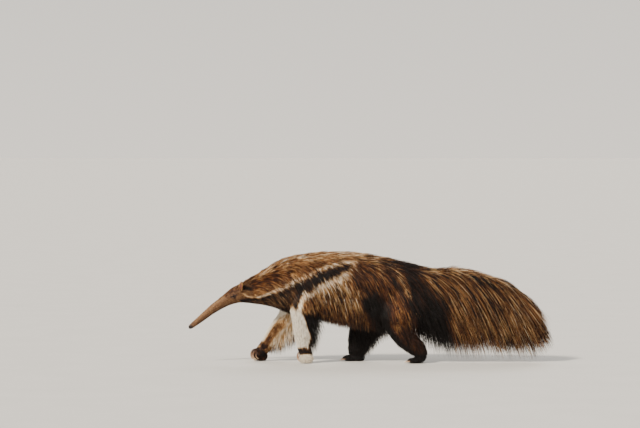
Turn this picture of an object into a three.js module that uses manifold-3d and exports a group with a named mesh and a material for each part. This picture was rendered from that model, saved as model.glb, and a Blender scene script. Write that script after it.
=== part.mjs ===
// A giant anteater at life size, walking, as a still model.
// Millimetres, +Z up, the head towards -X and the animal's right side towards +Y.
import * as THREE from "three";
import { mergeVertices } from "three/addons/utils/BufferGeometryUtils.js";
import Module from "manifold-3d";

const wasm = await Module();
wasm.setup();

// Driving dimensions
const nodeGap = 0.3; // clear space kept between neighbouring nodes
const spineSides = 20; // corners of one section of the head, neck, torso and tail
const legSides = 12;
const spineSteps = { head: 17, neck: 5, torso: 10, tail: 9 }; // stretches along each node of the spine
const degrees = Math.PI / 180;

// The spine from nose to tail end. Each row is one section of the body:
// its centre (x, z), the slope of the spine there in degrees, how far the core reaches above and
// below the centre, its half width, how much narrower it is at the top than at the bottom,
// and how far the coat reaches past the core above (crest) and below (fringe).
const spineStations = [
  { x: -993, z: 186, slope: 42, up: 3, down: 3, wide: 4, egg: 0, crest: 0, fringe: 0 },
  { x: -984, z: 194, slope: 42, up: 12, down: 12, wide: 13, egg: 0, crest: 0, fringe: 0 },
  { x: -942, z: 227, slope: 41, up: 17, down: 17, wide: 17, egg: 0, crest: 0, fringe: 0 },
  { x: -868, z: 287, slope: 36, up: 23, down: 23, wide: 21, egg: 0, crest: 0, fringe: 0 },
  { x: -796, z: 336, slope: 31, up: 31, down: 31, wide: 28, egg: 0, crest: 0, fringe: 0 },
  { x: -742, z: 366, slope: 27, up: 43, down: 43, wide: 39, egg: 0.05, crest: 0, fringe: 0 },
  { x: -700, z: 380, slope: 23, up: 49, down: 56, wide: 46, egg: 0.08, crest: 0, fringe: 0 },
  { x: -648, z: 393, slope: 19, up: 62, down: 72, wide: 57, egg: 0.1, crest: 5, fringe: 0 },
  { x: -570, z: 415, slope: 14, up: 80, down: 98, wide: 70, egg: 0.15, crest: 12, fringe: 0 },
  { x: -490, z: 432, slope: 8, up: 112, down: 130, wide: 90, egg: 0.18, crest: 14, fringe: 0 },
  { x: -400, z: 437, slope: 3, up: 134, down: 150, wide: 112, egg: 0.2, crest: 16, fringe: 0 },
  { x: -270, z: 436, slope: 0, up: 148, down: 162, wide: 122, egg: 0.2, crest: 20, fringe: 30 },
  { x: -120, z: 432, slope: 0, up: 152, down: 166, wide: 126, egg: 0.18, crest: 22, fringe: 80 },
  { x: 20, z: 424, slope: 0, up: 144, down: 160, wide: 124, egg: 0.15, crest: 23, fringe: 86 },
  { x: 140, z: 414, slope: 0, up: 130, down: 146, wide: 116, egg: 0.1, crest: 22, fringe: 98 },
  { x: 230, z: 418, slope: 0, up: 106, down: 132, wide: 96, egg: 0, crest: 22, fringe: 120 },
  { x: 300, z: 428, slope: 2, up: 76, down: 140, wide: 72, egg: -0.15, crest: 22, fringe: 150 },
  { x: 390, z: 440, slope: 8, up: 56, down: 165, wide: 60, egg: -0.3, crest: 23, fringe: 182 },
  { x: 510, z: 446, slope: 14, up: 54, down: 180, wide: 55, egg: -0.35, crest: 24, fringe: 196 },
  { x: 640, z: 420, slope: 18, up: 52, down: 175, wide: 48, egg: -0.35, crest: 26, fringe: 196 },
  { x: 760, z: 385, slope: 20, up: 52, down: 160, wide: 40, egg: -0.35, crest: 24, fringe: 178 },
  { x: 844, z: 340, slope: 22, up: 50, down: 122, wide: 30, egg: -0.3, crest: 30, fringe: 146 },
  { x: 900, z: 290, slope: 26, up: 34, down: 66, wide: 16, egg: -0.2, crest: 48, fringe: 130 },
];
// Where one node of the spine ends and the next begins, as a position in the list above
const spineCuts = { nose: 0, headEnd: 6.6, neckEnd: 9.7, torsoEnd: 16, tailEnd: 22 };

// Each leg from the hip or shoulder down: centre (x, y outwards, z), slope of the limb,
// reach to the back and to the front of the centre, and half width.
const foreLegStanding = [
  { x: -340, y: 66, z: 430, slope: -84, up: 62, down: 66, wide: 46 },
  { x: -366, y: 84, z: 305, slope: -91, up: 56, down: 58, wide: 44 },
  { x: -374, y: 88, z: 230, slope: -90, up: 44, down: 46, wide: 40 },
  { x: -365, y: 88, z: 160, slope: -86, up: 42, down: 44, wide: 34 },
  { x: -364, y: 87, z: 97, slope: -84, up: 28, down: 30, wide: 28 },
  { x: -352, y: 86, z: 60, slope: -84, up: 30, down: 31, wide: 30 },
  { x: -348, y: 86, z: 26, slope: -90, up: 34, down: 35, wide: 33 },
];
const foreLegReaching = [
  { x: -366, y: 66, z: 430, slope: -100, up: 62, down: 66, wide: 46 },
  { x: -408, y: 84, z: 320, slope: -116, up: 54, down: 56, wide: 44 },
  { x: -454, y: 88, z: 246, slope: -124, up: 45, down: 46, wide: 40 },
  { x: -513, y: 88, z: 170, slope: -126, up: 38, down: 40, wide: 34 },
  { x: -560, y: 86, z: 105, slope: -124, up: 29, down: 30, wide: 28 },
  { x: -588, y: 85, z: 66, slope: -118, up: 30, down: 31, wide: 29 },
  { x: -604, y: 84, z: 36, slope: -112, up: 32, down: 33, wide: 31 },
];
const hindLegForward = [
  { x: 150, y: 56, z: 400, slope: -104, up: 100, down: 100, wide: 56 },
  { x: 74, y: 80, z: 315, slope: -126, up: 82, down: 84, wide: 54 },
  { x: -8, y: 88, z: 238, slope: -116, up: 60, down: 60, wide: 46 },
  { x: -52, y: 88, z: 160, slope: -104, up: 48, down: 50, wide: 38 },
  { x: -68, y: 86, z: 90, slope: -94, up: 38, down: 40, wide: 32 },
  { x: -70, y: 86, z: 40, slope: -90, up: 40, down: 40, wide: 32 },
];
const hindLegTrailing = [
  { x: 170, y: 56, z: 400, slope: -95, up: 100, down: 100, wide: 56 },
  { x: 146, y: 80, z: 310, slope: -92, up: 84, down: 84, wide: 56 },
  { x: 142, y: 90, z: 240, slope: -66, up: 64, down: 62, wide: 48 },
  { x: 186, y: 90, z: 150, slope: -50, up: 50, down: 50, wide: 39 },
  { x: 258, y: 88, z: 82, slope: -58, up: 38, down: 40, wide: 32 },
  { x: 280, y: 87, z: 46, slope: -95, up: 27, down: 30, wide: 30 },
  { x: 276, y: 86, z: 20, slope: -100, up: 24, down: 28, wide: 31 },
];

// The paws, each of two balls: the heel or outer edge that bears the weight, and the knuckles or toes.
// x, y and z are a ball's centre and long, wide and high its radii.
const pawStanding = [
  { x: -346, y: 94, z: 26, long: 38, wide: 27, high: 30 },
  { x: -356, y: 76, z: 46, long: 30, wide: 28, high: 24 },
];
const pawReaching = [
  { x: -600, y: 94, z: 27, long: 38, wide: 26, high: 31 },
  { x: -614, y: 76, z: 46, long: 34, wide: 27, high: 26 },
];
const pawFlat = [
  { x: -62, y: 86, z: 22, long: 38, wide: 34, high: 30 },
  { x: -108, y: 87, z: 13, long: 36, wide: 38, high: 19 },
];
const pawOnToes = [
  { x: 268, y: 86, z: 18, long: 28, wide: 33, high: 24 },
  { x: 244, y: 87, z: 12, long: 34, wide: 37, high: 17 },
];
// The claws of a forefoot by digit: place across the knuckles (inwards is less), how far the root
// lies in front of their middle, its height and slope, thickness and length along the curve
const foreClaws = [
  { digit: 1, across: -28, ahead: 10, high: 40, slope: 235, radius: 3.6, length: 36 },
  { digit: 2, across: -18, ahead: 20, high: 54, slope: 215, radius: 6, length: 62 },
  { digit: 3, across: -3, ahead: 26, high: 60, slope: 208, radius: 7.5, length: 78 },
  { digit: 4, across: 16, ahead: 24, high: 42, slope: 205, radius: 4.6, length: 46 },
];
const clawTipSlope = 350;
const hindClaws = {
  count: 5, spacing: 13.5, high: 13, radius: 3.8,
  length: 32, slope: 172, tipSlope: 218,
};

const eye = { x: -744, y: 35, z: 363, radius: 8.6, socket: 9, lidRadius: 8.2, lidTube: 2.6, lidOut: 5.5 };
const nostril = { x: -989, y: 6, z: 196, size: { x: 4.5, y: 2.6, z: 3 } };
// The mouth is a slit under the tip of the snout, with the lips as a roll round it
const mouth = { x: -984, z: 182, slope: 40, long: 44, wide: 60, high: 1.6 };
const lips = { x: -973.3, z: 191, radius: 8, tube: 2.2 };
const ear = { x: -703, y: 35, z: 400, height: 48, halfWidth: 19, cup: 11, thickness: 3.4 };

// The form that all the long locks share: how deep a root sits, the step along its line, how far its
// edges droop, how much higher every other one lies, the clear space over a leg that it crosses and
// beside one that it hangs past, how often its line is smoothed, how far each ring follows the turn
// of the surface, the room that a cutter has to spare, and the rings that shape a lock
const lockForm = {
  sunk: 12,
  step: 10,
  droop: 0.14,
  stagger: 8,
  thickness: 8,
  clear: 9,
  passing: 16,
  smoothing: 4,
  twist: 0.6,
  spare: { face: 1.1, edge: 0.6, ends: 4 },
  rings: [
    { share: 0, wide: 0.6, thick: 0.9 },
    { share: 0.33, wide: 1, thick: 1 },
    { share: 0.72, wide: 0.76, thick: 0.7 },
  ],
};
// Rows of locks. from: positions along the stations; angle: place round the section, 90 on top and
// 0 at the side; lies and hangs: degrees below level at the root and at the tip; lift: height over
// the core; turn: how far the blade is turned about its line, 90 for one that stands on edge.
const flankRows = [
  {
    count: 8, from: [9.95, 14.3], angle: [-8, -10], lies: [62, 56], hangs: [80, 70],
    length: [130, 190], width: [82, 80], lift: 3,
  },
  {
    count: 8, from: [10.1, 15.2], angle: [26, 28], lies: [52, 46], hangs: [72, 64],
    length: [150, 190], width: [82, 76], lift: 7,
  },
  {
    count: 8, from: [9.85, 15.7], angle: [56, 60], lies: [34, 28], hangs: [62, 52],
    length: [150, 190], width: [82, 72], lift: 11,
  },
];
const underRows = [
  {
    count: 9, from: [10.6, 13.9], angle: [-46, -50], lies: [74, 64], hangs: [86, 76],
    length: [110, 190], width: [84, 84], lift: 0,
  },
  {
    count: 4, from: [14.3, 15.9], angle: [-62, -44], lies: [70, 62], hangs: [80, 68],
    length: [180, 200], width: [76, 76], lift: 0,
  },
];
const crestRow = {
  count: 8, from: [9.9, 15.9], angle: [84, 84], lies: [-5, 7], hangs: [10, 20],
  length: [170, 190], width: [46, 50], lift: 4, turn: 90,
};
const maneRow = {
  count: 5, from: [6.9, 9.3], angle: [84, 84], lies: [-26, -8], hangs: [-14, 4],
  length: [100, 130], width: [26, 42], lift: 1, turn: 90,
};
const tailRows = [
  {
    count: 9, from: [16.2, 21.4], angle: [-26, -26], lies: [62, 52], hangs: [72, 60],
    length: [240, 200], width: [90, 62], lift: 0,
  },
  {
    count: 9, from: [16.05, 21.2], angle: [42, 36], lies: [40, 46], hangs: [66, 58],
    length: [260, 190], width: [90, 62], lift: 12,
  },
];
const tailKeelRow = {
  count: 7, from: [16.2, 21.1], angle: [-84, -84], lies: [64, 56], hangs: [74, 62],
  length: [215, 185], width: [80, 64], lift: 0, turn: 90,
};
const tailCrestRow = {
  count: 7, from: [16.3, 21.6], angle: [84, 80], lies: [0, 40], hangs: [22, 60],
  length: [200, 160], width: [52, 62], lift: 2, turn: 90,
};
const legRows = {
  foreleg_left: [
    {
      count: 6, from: [1.7, 4.5], angle: [80, 80], lies: [40, 56], hangs: [82, 86],
      length: [120, 62], width: [50, 34], lift: 2, turn: 70,
    },
  ],
  foreleg_right: [
    {
      count: 6, from: [1.2, 3.6], angle: [80, 80], lies: [72, 76], hangs: [96, 92],
      length: [190, 80], width: [56, 38], lift: 2, turn: 70,
    },
  ],
  hindleg_left: [
    {
      count: 3, from: [2.2, 3.5], angle: [30, 20], lies: [54, 54], hangs: [70, 60],
      length: [110, 80], width: [70, 50], lift: 0,
    },
    {
      count: 4, from: [2.0, 3.8], angle: [70, 70], lies: [56, 50], hangs: [76, 66],
      length: [100, 70], width: [56, 40], lift: 0, turn: 60,
    },
  ],
  hindleg_right: [
    {
      count: 3, from: [2.0, 3.5], angle: [30, 20], lies: [60, 60], hangs: [82, 80],
      length: [110, 90], width: [66, 50], lift: 0,
    },
    {
      count: 4, from: [1.85, 4.0], angle: [68, 70], lies: [56, 60], hangs: [82, 80],
      length: [110, 70], width: [56, 40], lift: 0, turn: 60,
    },
  ],
};

const colours = {
  fur: "#4a3220",
  snout: "#a5713f",
  pale: "#e6dccb",
  claw: "#b49a80",
  eye: "#120c08",
};

// Catmull-Rom blend of four values at a share s between the middle two
function blend(a, b, c, d, s) {
  const square = (2 * a - 5 * b + 4 * c - d) * s ** 2;
  const cube = (3 * b - a - 3 * c + d) * s ** 3;
  return 0.5 * (2 * b + (c - a) * s + square + cube);
}

// The section at position t of a list of stations, with every value blended smoothly
function stationAt(stations, t) {
  const last = stations.length - 1;
  const i = Math.min(Math.floor(t), last - 1);
  const pick = (k) => stations[Math.min(Math.max(k, 0), last)];
  const section = {};
  for (const key of Object.keys(stations[0]))
    section[key] = blend(pick(i - 1)[key], pick(i)[key], pick(i + 1)[key], pick(i + 2)[key], t - i);
  return section;
}

// The ring of points round one section; grow moves every point outwards by that much
function ringOf(section, sides, side, grow, coat) {
  const slope = section.slope * degrees;
  const normal = new THREE.Vector3(-Math.sin(slope), 0, Math.cos(slope));
  const points = [];
  for (let k = 0; k < sides; k++) {
    const angle = (2 * Math.PI * k) / sides;
    const rise = Math.sin(angle);
    const past = coat * ((rise > 0 ? section.crest : section.fringe) ?? 0);
    const reach = (rise > 0 ? section.up : section.down) + past;
    const half = section.wide * (1 - (section.egg ?? 0) * rise);
    points.push(
      new THREE.Vector3(section.x, side * (section.y ?? 0), section.z)
        .addScaledVector(normal, (reach + grow) * rise)
        .add(new THREE.Vector3(0, (half + grow) * Math.cos(angle), 0)),
    );
  }
  return points;
}

// A closed surface through rings of equal count, with a fan on the first ring and one on the last,
// which runs out to a tip where one is given
function skinRings(rings, tip) {
  const count = rings[0].length;
  const points = rings.flat();
  const faces = [];
  for (let r = 0; r + 1 < rings.length; r++)
    for (let k = 0; k < count; k++) {
      const a = r * count + k;
      const b = r * count + ((k + 1) % count);
      faces.push(a, b, a + count, b, b + count, a + count);
    }
  const middle = (ring) => ring.reduce((sum, p) => sum.add(p), new THREE.Vector3()).divideScalar(count);
  const start = points.push(middle(rings[0])) - 1;
  const end = points.push(tip ?? middle(rings[rings.length - 1])) - 1;
  const base = (rings.length - 1) * count;
  for (let k = 0; k < count; k++) {
    const next = (k + 1) % count;
    faces.push(start, next, k, end, base + k, base + next);
  }
  return solidOf(new THREE.BufferGeometry().setFromPoints(points).setIndex(faces));
}

// A closed three.js geometry as a solid, turned right side out
function solidOf(geometry) {
  const plain = new THREE.BufferGeometry().setAttribute("position", geometry.getAttribute("position"));
  if (geometry.index) plain.setIndex(geometry.index);
  const merged = mergeVertices(plain, 1e-4);
  const triVerts = new Uint32Array(merged.index.array);
  const vertProperties = new Float32Array(merged.attributes.position.array);
  const made = new wasm.Manifold(new wasm.Mesh({ numProp: 3, vertProperties, triVerts }));
  if (made.volume() > 0) return made;
  for (let i = 0; i < triVerts.length; i += 3)
    [triVerts[i + 1], triVerts[i + 2]] = [triVerts[i + 2], triVerts[i + 1]];
  return new wasm.Manifold(new wasm.Mesh({ numProp: 3, vertProperties, triVerts }));
}

// A stretch of a limb or of the spine between two positions of its stations
function loft(stations, from, to, steps, sides, { side = 1, grow = 0, coat = 0 } = {}) {
  const rings = [];
  for (let i = 0; i <= steps; i++)
    rings.push(ringOf(stationAt(stations, from + ((to - from) * i) / steps), sides, side, grow, coat));
  return skinRings(rings);
}

// A ball stretched to three radii
function ball(centre, radii, columns = 12, rows = 8) {
  const geometry = new THREE.SphereGeometry(1, columns, rows);
  geometry.rotateX(Math.PI / 2);
  geometry.scale(radii.x, radii.y, radii.z);
  geometry.translate(centre.x, centre.y, centre.z);
  return solidOf(geometry);
}

// The part of a solid above the floor
const aboveFloor = (solid) => solid.trimByPlane([0, 0, 1], 0);

// A solid as a three.js geometry
function geometryOf(solid) {
  const { vertProperties, triVerts, numProp } = solid.getMesh();
  const positions = new Float32Array((vertProperties.length / numProp) * 3);
  for (let i = 0; i < positions.length / 3; i++)
    positions.set(vertProperties.subarray(i * numProp, i * numProp + 3), i * 3);
  return new THREE.BufferGeometry()
    .setAttribute("position", new THREE.BufferAttribute(positions, 3))
    .setIndex(new THREE.BufferAttribute(new Uint32Array(triVerts), 1));
}

// The largest closed body of a solid, which drops loose scraps and fills sealed hollows. The
// numbers are rounded first, as they will be in the mesh, so that no hollow closes afterwards.
function largest(solid) {
  const bodies = solidOf(geometryOf(solid)).decompose();
  return bodies.reduce((best, body) => (body.volume() > best.volume() ? body : best));
}

// Where a point lies beside a limb or the spine: the position of the section that holds it,
// and its place in that section
function placeBeside(stations, point, side) {
  let low = 0;
  let high = stations.length - 1;
  for (let i = 0; i < 18; i++) {
    const middle = (low + high) / 2;
    const section = stationAt(stations, middle);
    const slope = section.slope * degrees;
    const ahead = (point.x - section.x) * Math.cos(slope) + (point.z - section.z) * Math.sin(slope);
    if (ahead > 0) low = middle;
    else high = middle;
  }
  const section = stationAt(stations, (low + high) / 2);
  const slope = section.slope * degrees;
  const normal = new THREE.Vector3(-Math.sin(slope), 0, Math.cos(slope));
  const rise = (point.x - section.x) * normal.x + (point.z - section.z) * normal.z;
  const out = point.y - side * (section.y ?? 0);
  const beyond = low < 1e-4 || high > stations.length - 1 - 1e-4;
  return { section, normal, rise, out, beyond };
}

// How far a section grown by the lift holds a point: below 1 it lies inside
function depthIn(stations, point, side, lift) {
  const { section, normal, rise, out, beyond } = placeBeside(stations, point, side);
  const reach = (rise > 0 ? section.up : section.down) + lift;
  const egg = (section.egg ?? 0) * THREE.MathUtils.clamp(rise / reach, -1, 1);
  const half = section.wide * (1 - egg) + lift;
  const depth = beyond ? 1 : Math.hypot(rise / reach, out / half);
  return { section, normal, rise, out, reach, half, depth };
}

// Moves a point outwards in its section until it is clear of the core by the lift
function pushOut(stations, point, side, lift) {
  const { normal, rise, out, depth } = depthIn(stations, point, side, lift);
  if (depth >= 1) return;
  const scale = 1 / Math.max(depth, 0.05) - 1;
  point.addScaledVector(normal, rise * scale);
  point.y += out * scale;
}

// Moves a point straight out to the side until it is clear of a limb
function pushAside(stations, point, side, lift) {
  const { section, rise, reach, half, depth } = depthIn(stations, point, side, lift);
  if (depth < 1) point.y = side * (section.y + half * Math.sqrt(1 - (rise / reach) ** 2));
}

// The direction that points away from the core at a point beside it
function outwardsAt(stations, point, side) {
  const { section, normal, rise, out } = placeBeside(stations, point, side);
  const reach = rise > 0 ? section.up : section.down;
  return normal
    .clone()
    .multiplyScalar(rise / reach ** 2)
    .add(new THREE.Vector3(0, out / section.wide ** 2, 0))
    .normalize();
}

// The line that a lock follows: from under the skin it leans over, lies along the coat and then
// hangs, pushed clear of its own core and of the limbs that it passes
function lockLine({ stations, side, at, angle, headings, length, lift, clear }) {
  const root = stationAt(stations, at);
  const slope = root.slope * degrees;
  const normal = new THREE.Vector3(-Math.sin(slope), 0, Math.cos(slope));
  const rise = Math.sin(angle * degrees);
  const reach = (rise > 0 ? root.up : root.down) - lockForm.sunk;
  const half = root.wide * (1 - (root.egg ?? 0) * rise) - lockForm.sunk;
  const point = new THREE.Vector3(root.x, side * (root.y ?? 0), root.z)
    .addScaledVector(normal, reach * rise)
    .add(new THREE.Vector3(0, side * half * Math.cos(angle * degrees), 0));
  const line = [point.clone()];
  const steps = Math.round(length / lockForm.step);
  for (let i = 1; i <= steps; i++) {
    const share = i / steps;
    const heading = THREE.MathUtils.lerp(headings[0], headings[1], share) * degrees;
    point.add(new THREE.Vector3(Math.cos(heading), 0, -Math.sin(heading)).multiplyScalar(lockForm.step));
    const rising = Math.min(1, share / lockForm.rings[1].share);
    pushOut(stations, point, side, THREE.MathUtils.lerp(-lockForm.sunk, lift, rising));
    for (const limb of clear) {
      if (limb.side === side) pushAside(limb.stations, point, side, lockForm.clear);
    }
    line.push(point.clone());
  }
  for (let pass = 0; pass < lockForm.smoothing; pass++) {
    for (let i = 1; i < line.length - 1; i++) {
      const between = line[i - 1].clone().add(line[i + 1]).multiplyScalar(0.5);
      line[i].lerp(between, 0.5);
    }
  }
  return line;
}

// One flat lock along its line: four corners a ring, widest before its middle and pointed at the
// tip. A cutter is the same lock with room to spare.
function lock(way, spare = { face: 0, edge: 0, ends: 0 }) {
  const curve = new THREE.CatmullRomCurve3(lockLine(way));
  const turn = (way.turn ?? 0) * degrees;
  const outwards = outwardsAt(way.stations, curve.getPoint(lockForm.rings[0].share), way.side);
  const rings = lockForm.rings.map(({ share, wide, thick }) => {
    const point = curve.getPoint(share);
    const along = curve.getTangent(share);
    outwards.lerp(outwardsAt(way.stations, point, way.side), lockForm.twist).normalize();
    const across = new THREE.Vector3().crossVectors(outwards, along).normalize();
    across.applyAxisAngle(along, turn);
    const facing = new THREE.Vector3().crossVectors(along, across).normalize();
    const edge = (way.width * wide) / 2 + spare.edge;
    const ridge = (lockForm.thickness * thick) / 2 + spare.face;
    const droop = turn > 0 ? 0 : edge * lockForm.droop;
    return [
      [0, ridge],
      [edge, -droop],
      [0, -ridge],
      [-edge, -droop],
    ].map(([a, b]) => point.clone().addScaledVector(across, a).addScaledVector(facing, b));
  });
  const behind = curve.getTangent(0).multiplyScalar(-spare.ends);
  if (spare.ends > 0) rings.unshift(rings[0].map((corner) => corner.clone().add(behind)));
  return skinRings(rings, curve.getPoint(1).addScaledVector(curve.getTangent(1), spare.ends));
}

// A row of locks along the stations: every other one lies a little higher, and a seeded draw varies them
function lockRow(stations, side, row, clear) {
  return Array.from({ length: row.count }, (_, i) => {
    const vary = (amount) => 1 + amount * (2 * draw() - 1);
    const share = i / (row.count - 1);
    const mix = ([start, end]) => THREE.MathUtils.lerp(start, end, share);
    return {
      stations,
      side,
      clear,
      turn: row.turn,
      at: mix(row.from),
      angle: mix(row.angle),
      headings: [mix(row.lies) * vary(0.05), mix(row.hangs) * vary(0.04)],
      length: mix(row.length) * vary(0.08),
      width: mix(row.width) * vary(0.1),
      lift: row.lift + (i % 2) * lockForm.stagger,
    };
  });
}

// Rows on both sides, and rows that alternate about the middle
const sideRows = (stations, rows, clear) =>
  [-1, 1].flatMap((side) => rows.flatMap((row) => lockRow(stations, side, row, clear)));
const middleRow = (stations, row) =>
  lockRow(stations, 1, row, []).map((way, i) => ({ ...way, side: i % 2 ? 1 : -1, lift: row.lift }));

// A core with its locks, and the locks alone as a cutter that leaves the gap
const withLocks = (core, ways) => wasm.Manifold.union([core, ...ways.map((way) => lock(way))]);
const lockCutter = (ways) => wasm.Manifold.union(ways.map((way) => lock(way, lockForm.spare)));

// Repeatable draws between 0 and 1
function seededDraws(seed) {
  let state = seed;
  return () => {
    state = (state * 1664525 + 1013904223) % 4294967296;
    return state / 4294967296;
  };
}

// A node of the spine between two cuts, each end drawn back by half the gap, and grown by that much
function spineNode(from, to, steps, coat, grow = 0) {
  const last = spineStations.length - 1;
  const pull = (t) => {
    const a = stationAt(spineStations, Math.max(t - 0.05, 0));
    const b = stationAt(spineStations, Math.min(t + 0.05, last));
    return (0.1 * (nodeGap / 2 - grow)) / Math.hypot(b.x - a.x, b.z - a.z);
  };
  const start = from > 0 ? from + pull(from) : from;
  const end = to < last ? to - pull(to) : to;
  return loft(spineStations, start, end, steps, spineSides, { coat, grow });
}

// One leg with its paw, grown by that much, before the body is cut out of it
function legSolid(stations, paw, side, grow = 0) {
  const last = stations.length - 1;
  let limb = loft(stations, 0, last, Math.round(last * 1.5), legSides, { side, grow });
  for (const { x, y, z, long, wide, high } of paw)
    limb = limb.add(ball({ x, y: side * y, z }, { x: long + grow, y: wide + grow, z: high + grow }, 10, 7));
  return aboveFloor(limb);
}

// A claw: a horn that narrows along an arc in the vertical plane, from its root at the toe
function claw(root, startSlope, endSlope, length, radius, flatten, sides, steps) {
  const rings = [];
  const centre = root.clone();
  for (let i = 0; i <= steps; i++) {
    const share = i / steps;
    const slope = (startSlope + (endSlope - startSlope) * share) * degrees;
    const heading = new THREE.Vector3(Math.cos(slope), 0, Math.sin(slope));
    if (i > 0) centre.addScaledVector(heading, length / steps);
    const size = radius * Math.pow(1 - share, 0.7) + 0.5;
    const normal = new THREE.Vector3(-Math.sin(slope), 0, Math.cos(slope));
    const ring = [];
    for (let k = 0; k < sides; k++) {
      const angle = (2 * Math.PI * k) / sides;
      ring.push(
        centre
          .clone()
          .addScaledVector(normal, size * Math.sin(angle))
          .add(new THREE.Vector3(0, size * flatten * Math.cos(angle), 0)),
      );
    }
    rings.push(ring);
  }
  return skinRings(rings);
}

// A leaf-shaped cup: the pinna, with its hollow facing forwards and outwards
function earSolid(side) {
  const up = new THREE.Vector3(0.12, side * 0.42, 1).normalize();
  const face = new THREE.Vector3(-0.86, side * 0.5, 0).normalize();
  const across = new THREE.Vector3().crossVectors(up, face).normalize();
  const rows = 5;
  const columns = 5;
  const surface = (share, v, offset) => {
    const peak = 0.45;
    const half =
      share > peak
        ? ear.halfWidth * Math.sqrt(Math.max(0, 1 - ((share - peak) / (1 - peak)) ** 2))
        : ear.halfWidth * (1 - 0.4 * ((peak - share) / peak) ** 2);
    return new THREE.Vector3(ear.x, side * ear.y, ear.z)
      .addScaledVector(up, ear.height * share)
      .addScaledVector(across, half * v)
      .addScaledVector(face, ear.cup * v * v * (1 - 0.4 * share) + offset);
  };
  const rings = [];
  for (let r = 0; r <= rows; r++) {
    const share = -0.25 + (1.235 * r) / rows;
    const ring = [];
    const half = ear.thickness / 2;
    for (let c = 0; c <= columns; c++) ring.push(surface(share, -1 + (2 * c) / columns, half));
    for (let c = columns; c >= 0; c--) ring.push(surface(share, -1 + (2 * c) / columns, -half));
    rings.push(ring);
  }
  return skinRings(rings);
}

const root = new THREE.Group();

// Adds one named mesh to the model
function addNode(name, solid, colour, roughness) {
  const material = new THREE.MeshStandardMaterial({ color: colour, roughness, metalness: 0 });
  const mesh = new THREE.Mesh(geometryOf(largest(solid)), material);
  mesh.name = name;
  root.add(mesh);
}

// Head, with sockets and lids for the eyes, nostrils and the slit of the mouth
function headSolid() {
  let head = spineNode(spineCuts.nose, spineCuts.headEnd, spineSteps.head, 0);
  for (const side of [-1, 1]) {
    const lids = new THREE.TorusGeometry(eye.lidRadius, eye.lidTube, 5, 12);
    lids.scale(1.25, 1, 1.4);
    lids.rotateX(Math.PI / 2);
    lids.rotateY(-27 * degrees);
    lids.translate(eye.x, side * (eye.y + eye.lidOut), eye.z);
    head = head.add(solidOf(lids));
    const socket = new THREE.Vector3(eye.x, side * eye.y, eye.z);
    head = head.subtract(ball(socket, new THREE.Vector3().setScalar(eye.socket), 10, 7));
    head = head.subtract(ball({ ...nostril, y: side * nostril.y }, nostril.size, 8, 6));
  }
  const roll = new THREE.TorusGeometry(lips.radius, lips.tube, 6, 12);
  roll.scale(1.25, 1, 1);
  roll.rotateY(-mouth.slope * degrees);
  roll.translate(lips.x, 0, lips.z);
  const slit = new THREE.BoxGeometry(mouth.long, mouth.wide, mouth.high);
  slit.rotateY(-mouth.slope * degrees);
  slit.translate(mouth.x, 0, mouth.z);
  return head.add(solidOf(roll)).subtract(solidOf(slit));
}

const legs = [
  { name: "foreleg_left", stations: foreLegStanding, paw: pawStanding, side: -1, colour: colours.pale },
  { name: "foreleg_right", stations: foreLegReaching, paw: pawReaching, side: 1, colour: colours.pale },
  { name: "hindleg_left", stations: hindLegTrailing, paw: pawOnToes, side: -1, colour: colours.fur },
  { name: "hindleg_right", stations: hindLegForward, paw: pawFlat, side: 1, colour: colours.fur },
];
const draw = seededDraws(7);
const neckLocks = middleRow(spineStations, maneRow);
// The rows under the body leave out the locks that a leg stands in the way of
const meetsLeg = (way) =>
  legs.some(
    ({ stations, side }) =>
      side === way.side &&
      lockLine(way).some((point, i) => i > 2 && depthIn(stations, point, side, lockForm.passing).depth < 1),
  );
const torsoLocks = [
  ...sideRows(spineStations, flankRows, legs),
  ...sideRows(spineStations, underRows, []).filter((way) => !meetsLeg(way)),
  ...middleRow(spineStations, crestRow),
];
const tailLocks = [
  ...sideRows(spineStations, tailRows, []),
  ...middleRow(spineStations, tailKeelRow),
  ...middleRow(spineStations, tailCrestRow),
];

const headGrown = spineNode(spineCuts.nose, spineCuts.headEnd, spineSteps.head, 0, nodeGap);
const neck = [spineCuts.headEnd, spineCuts.neckEnd, spineSteps.neck, 0];
const neckGrown = spineNode(...neck, nodeGap).add(lockCutter(neckLocks));
const torso = [spineCuts.neckEnd, spineCuts.torsoEnd, spineSteps.torso, 0];
const torsoGrown = spineNode(...torso, nodeGap).add(lockCutter(torsoLocks));
const tail = [spineCuts.torsoEnd, spineCuts.tailEnd, spineSteps.tail, 0];

addNode("head", headSolid(), colours.snout, 0.8);
addNode("neck", withLocks(spineNode(...neck), neckLocks).subtract(headGrown), colours.fur, 0.9);
addNode("torso", withLocks(spineNode(...torso), torsoLocks).subtract(neckGrown), colours.fur, 0.9);
addNode("tail", withLocks(spineNode(...tail), tailLocks).subtract(torsoGrown), colours.fur, 0.9);
for (const side of [-1, 1]) {
  const name = side < 0 ? "left" : "right";
  const centre = new THREE.Vector3(eye.x, side * eye.y, eye.z);
  const radii = new THREE.Vector3().setScalar(eye.radius);
  addNode(`eye_${name}`, ball(centre, radii, 10, 7), colours.eye, 0.1);
  addNode(`ear_${name}`, earSolid(side).subtract(headGrown), colours.fur, 0.9);
}

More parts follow.
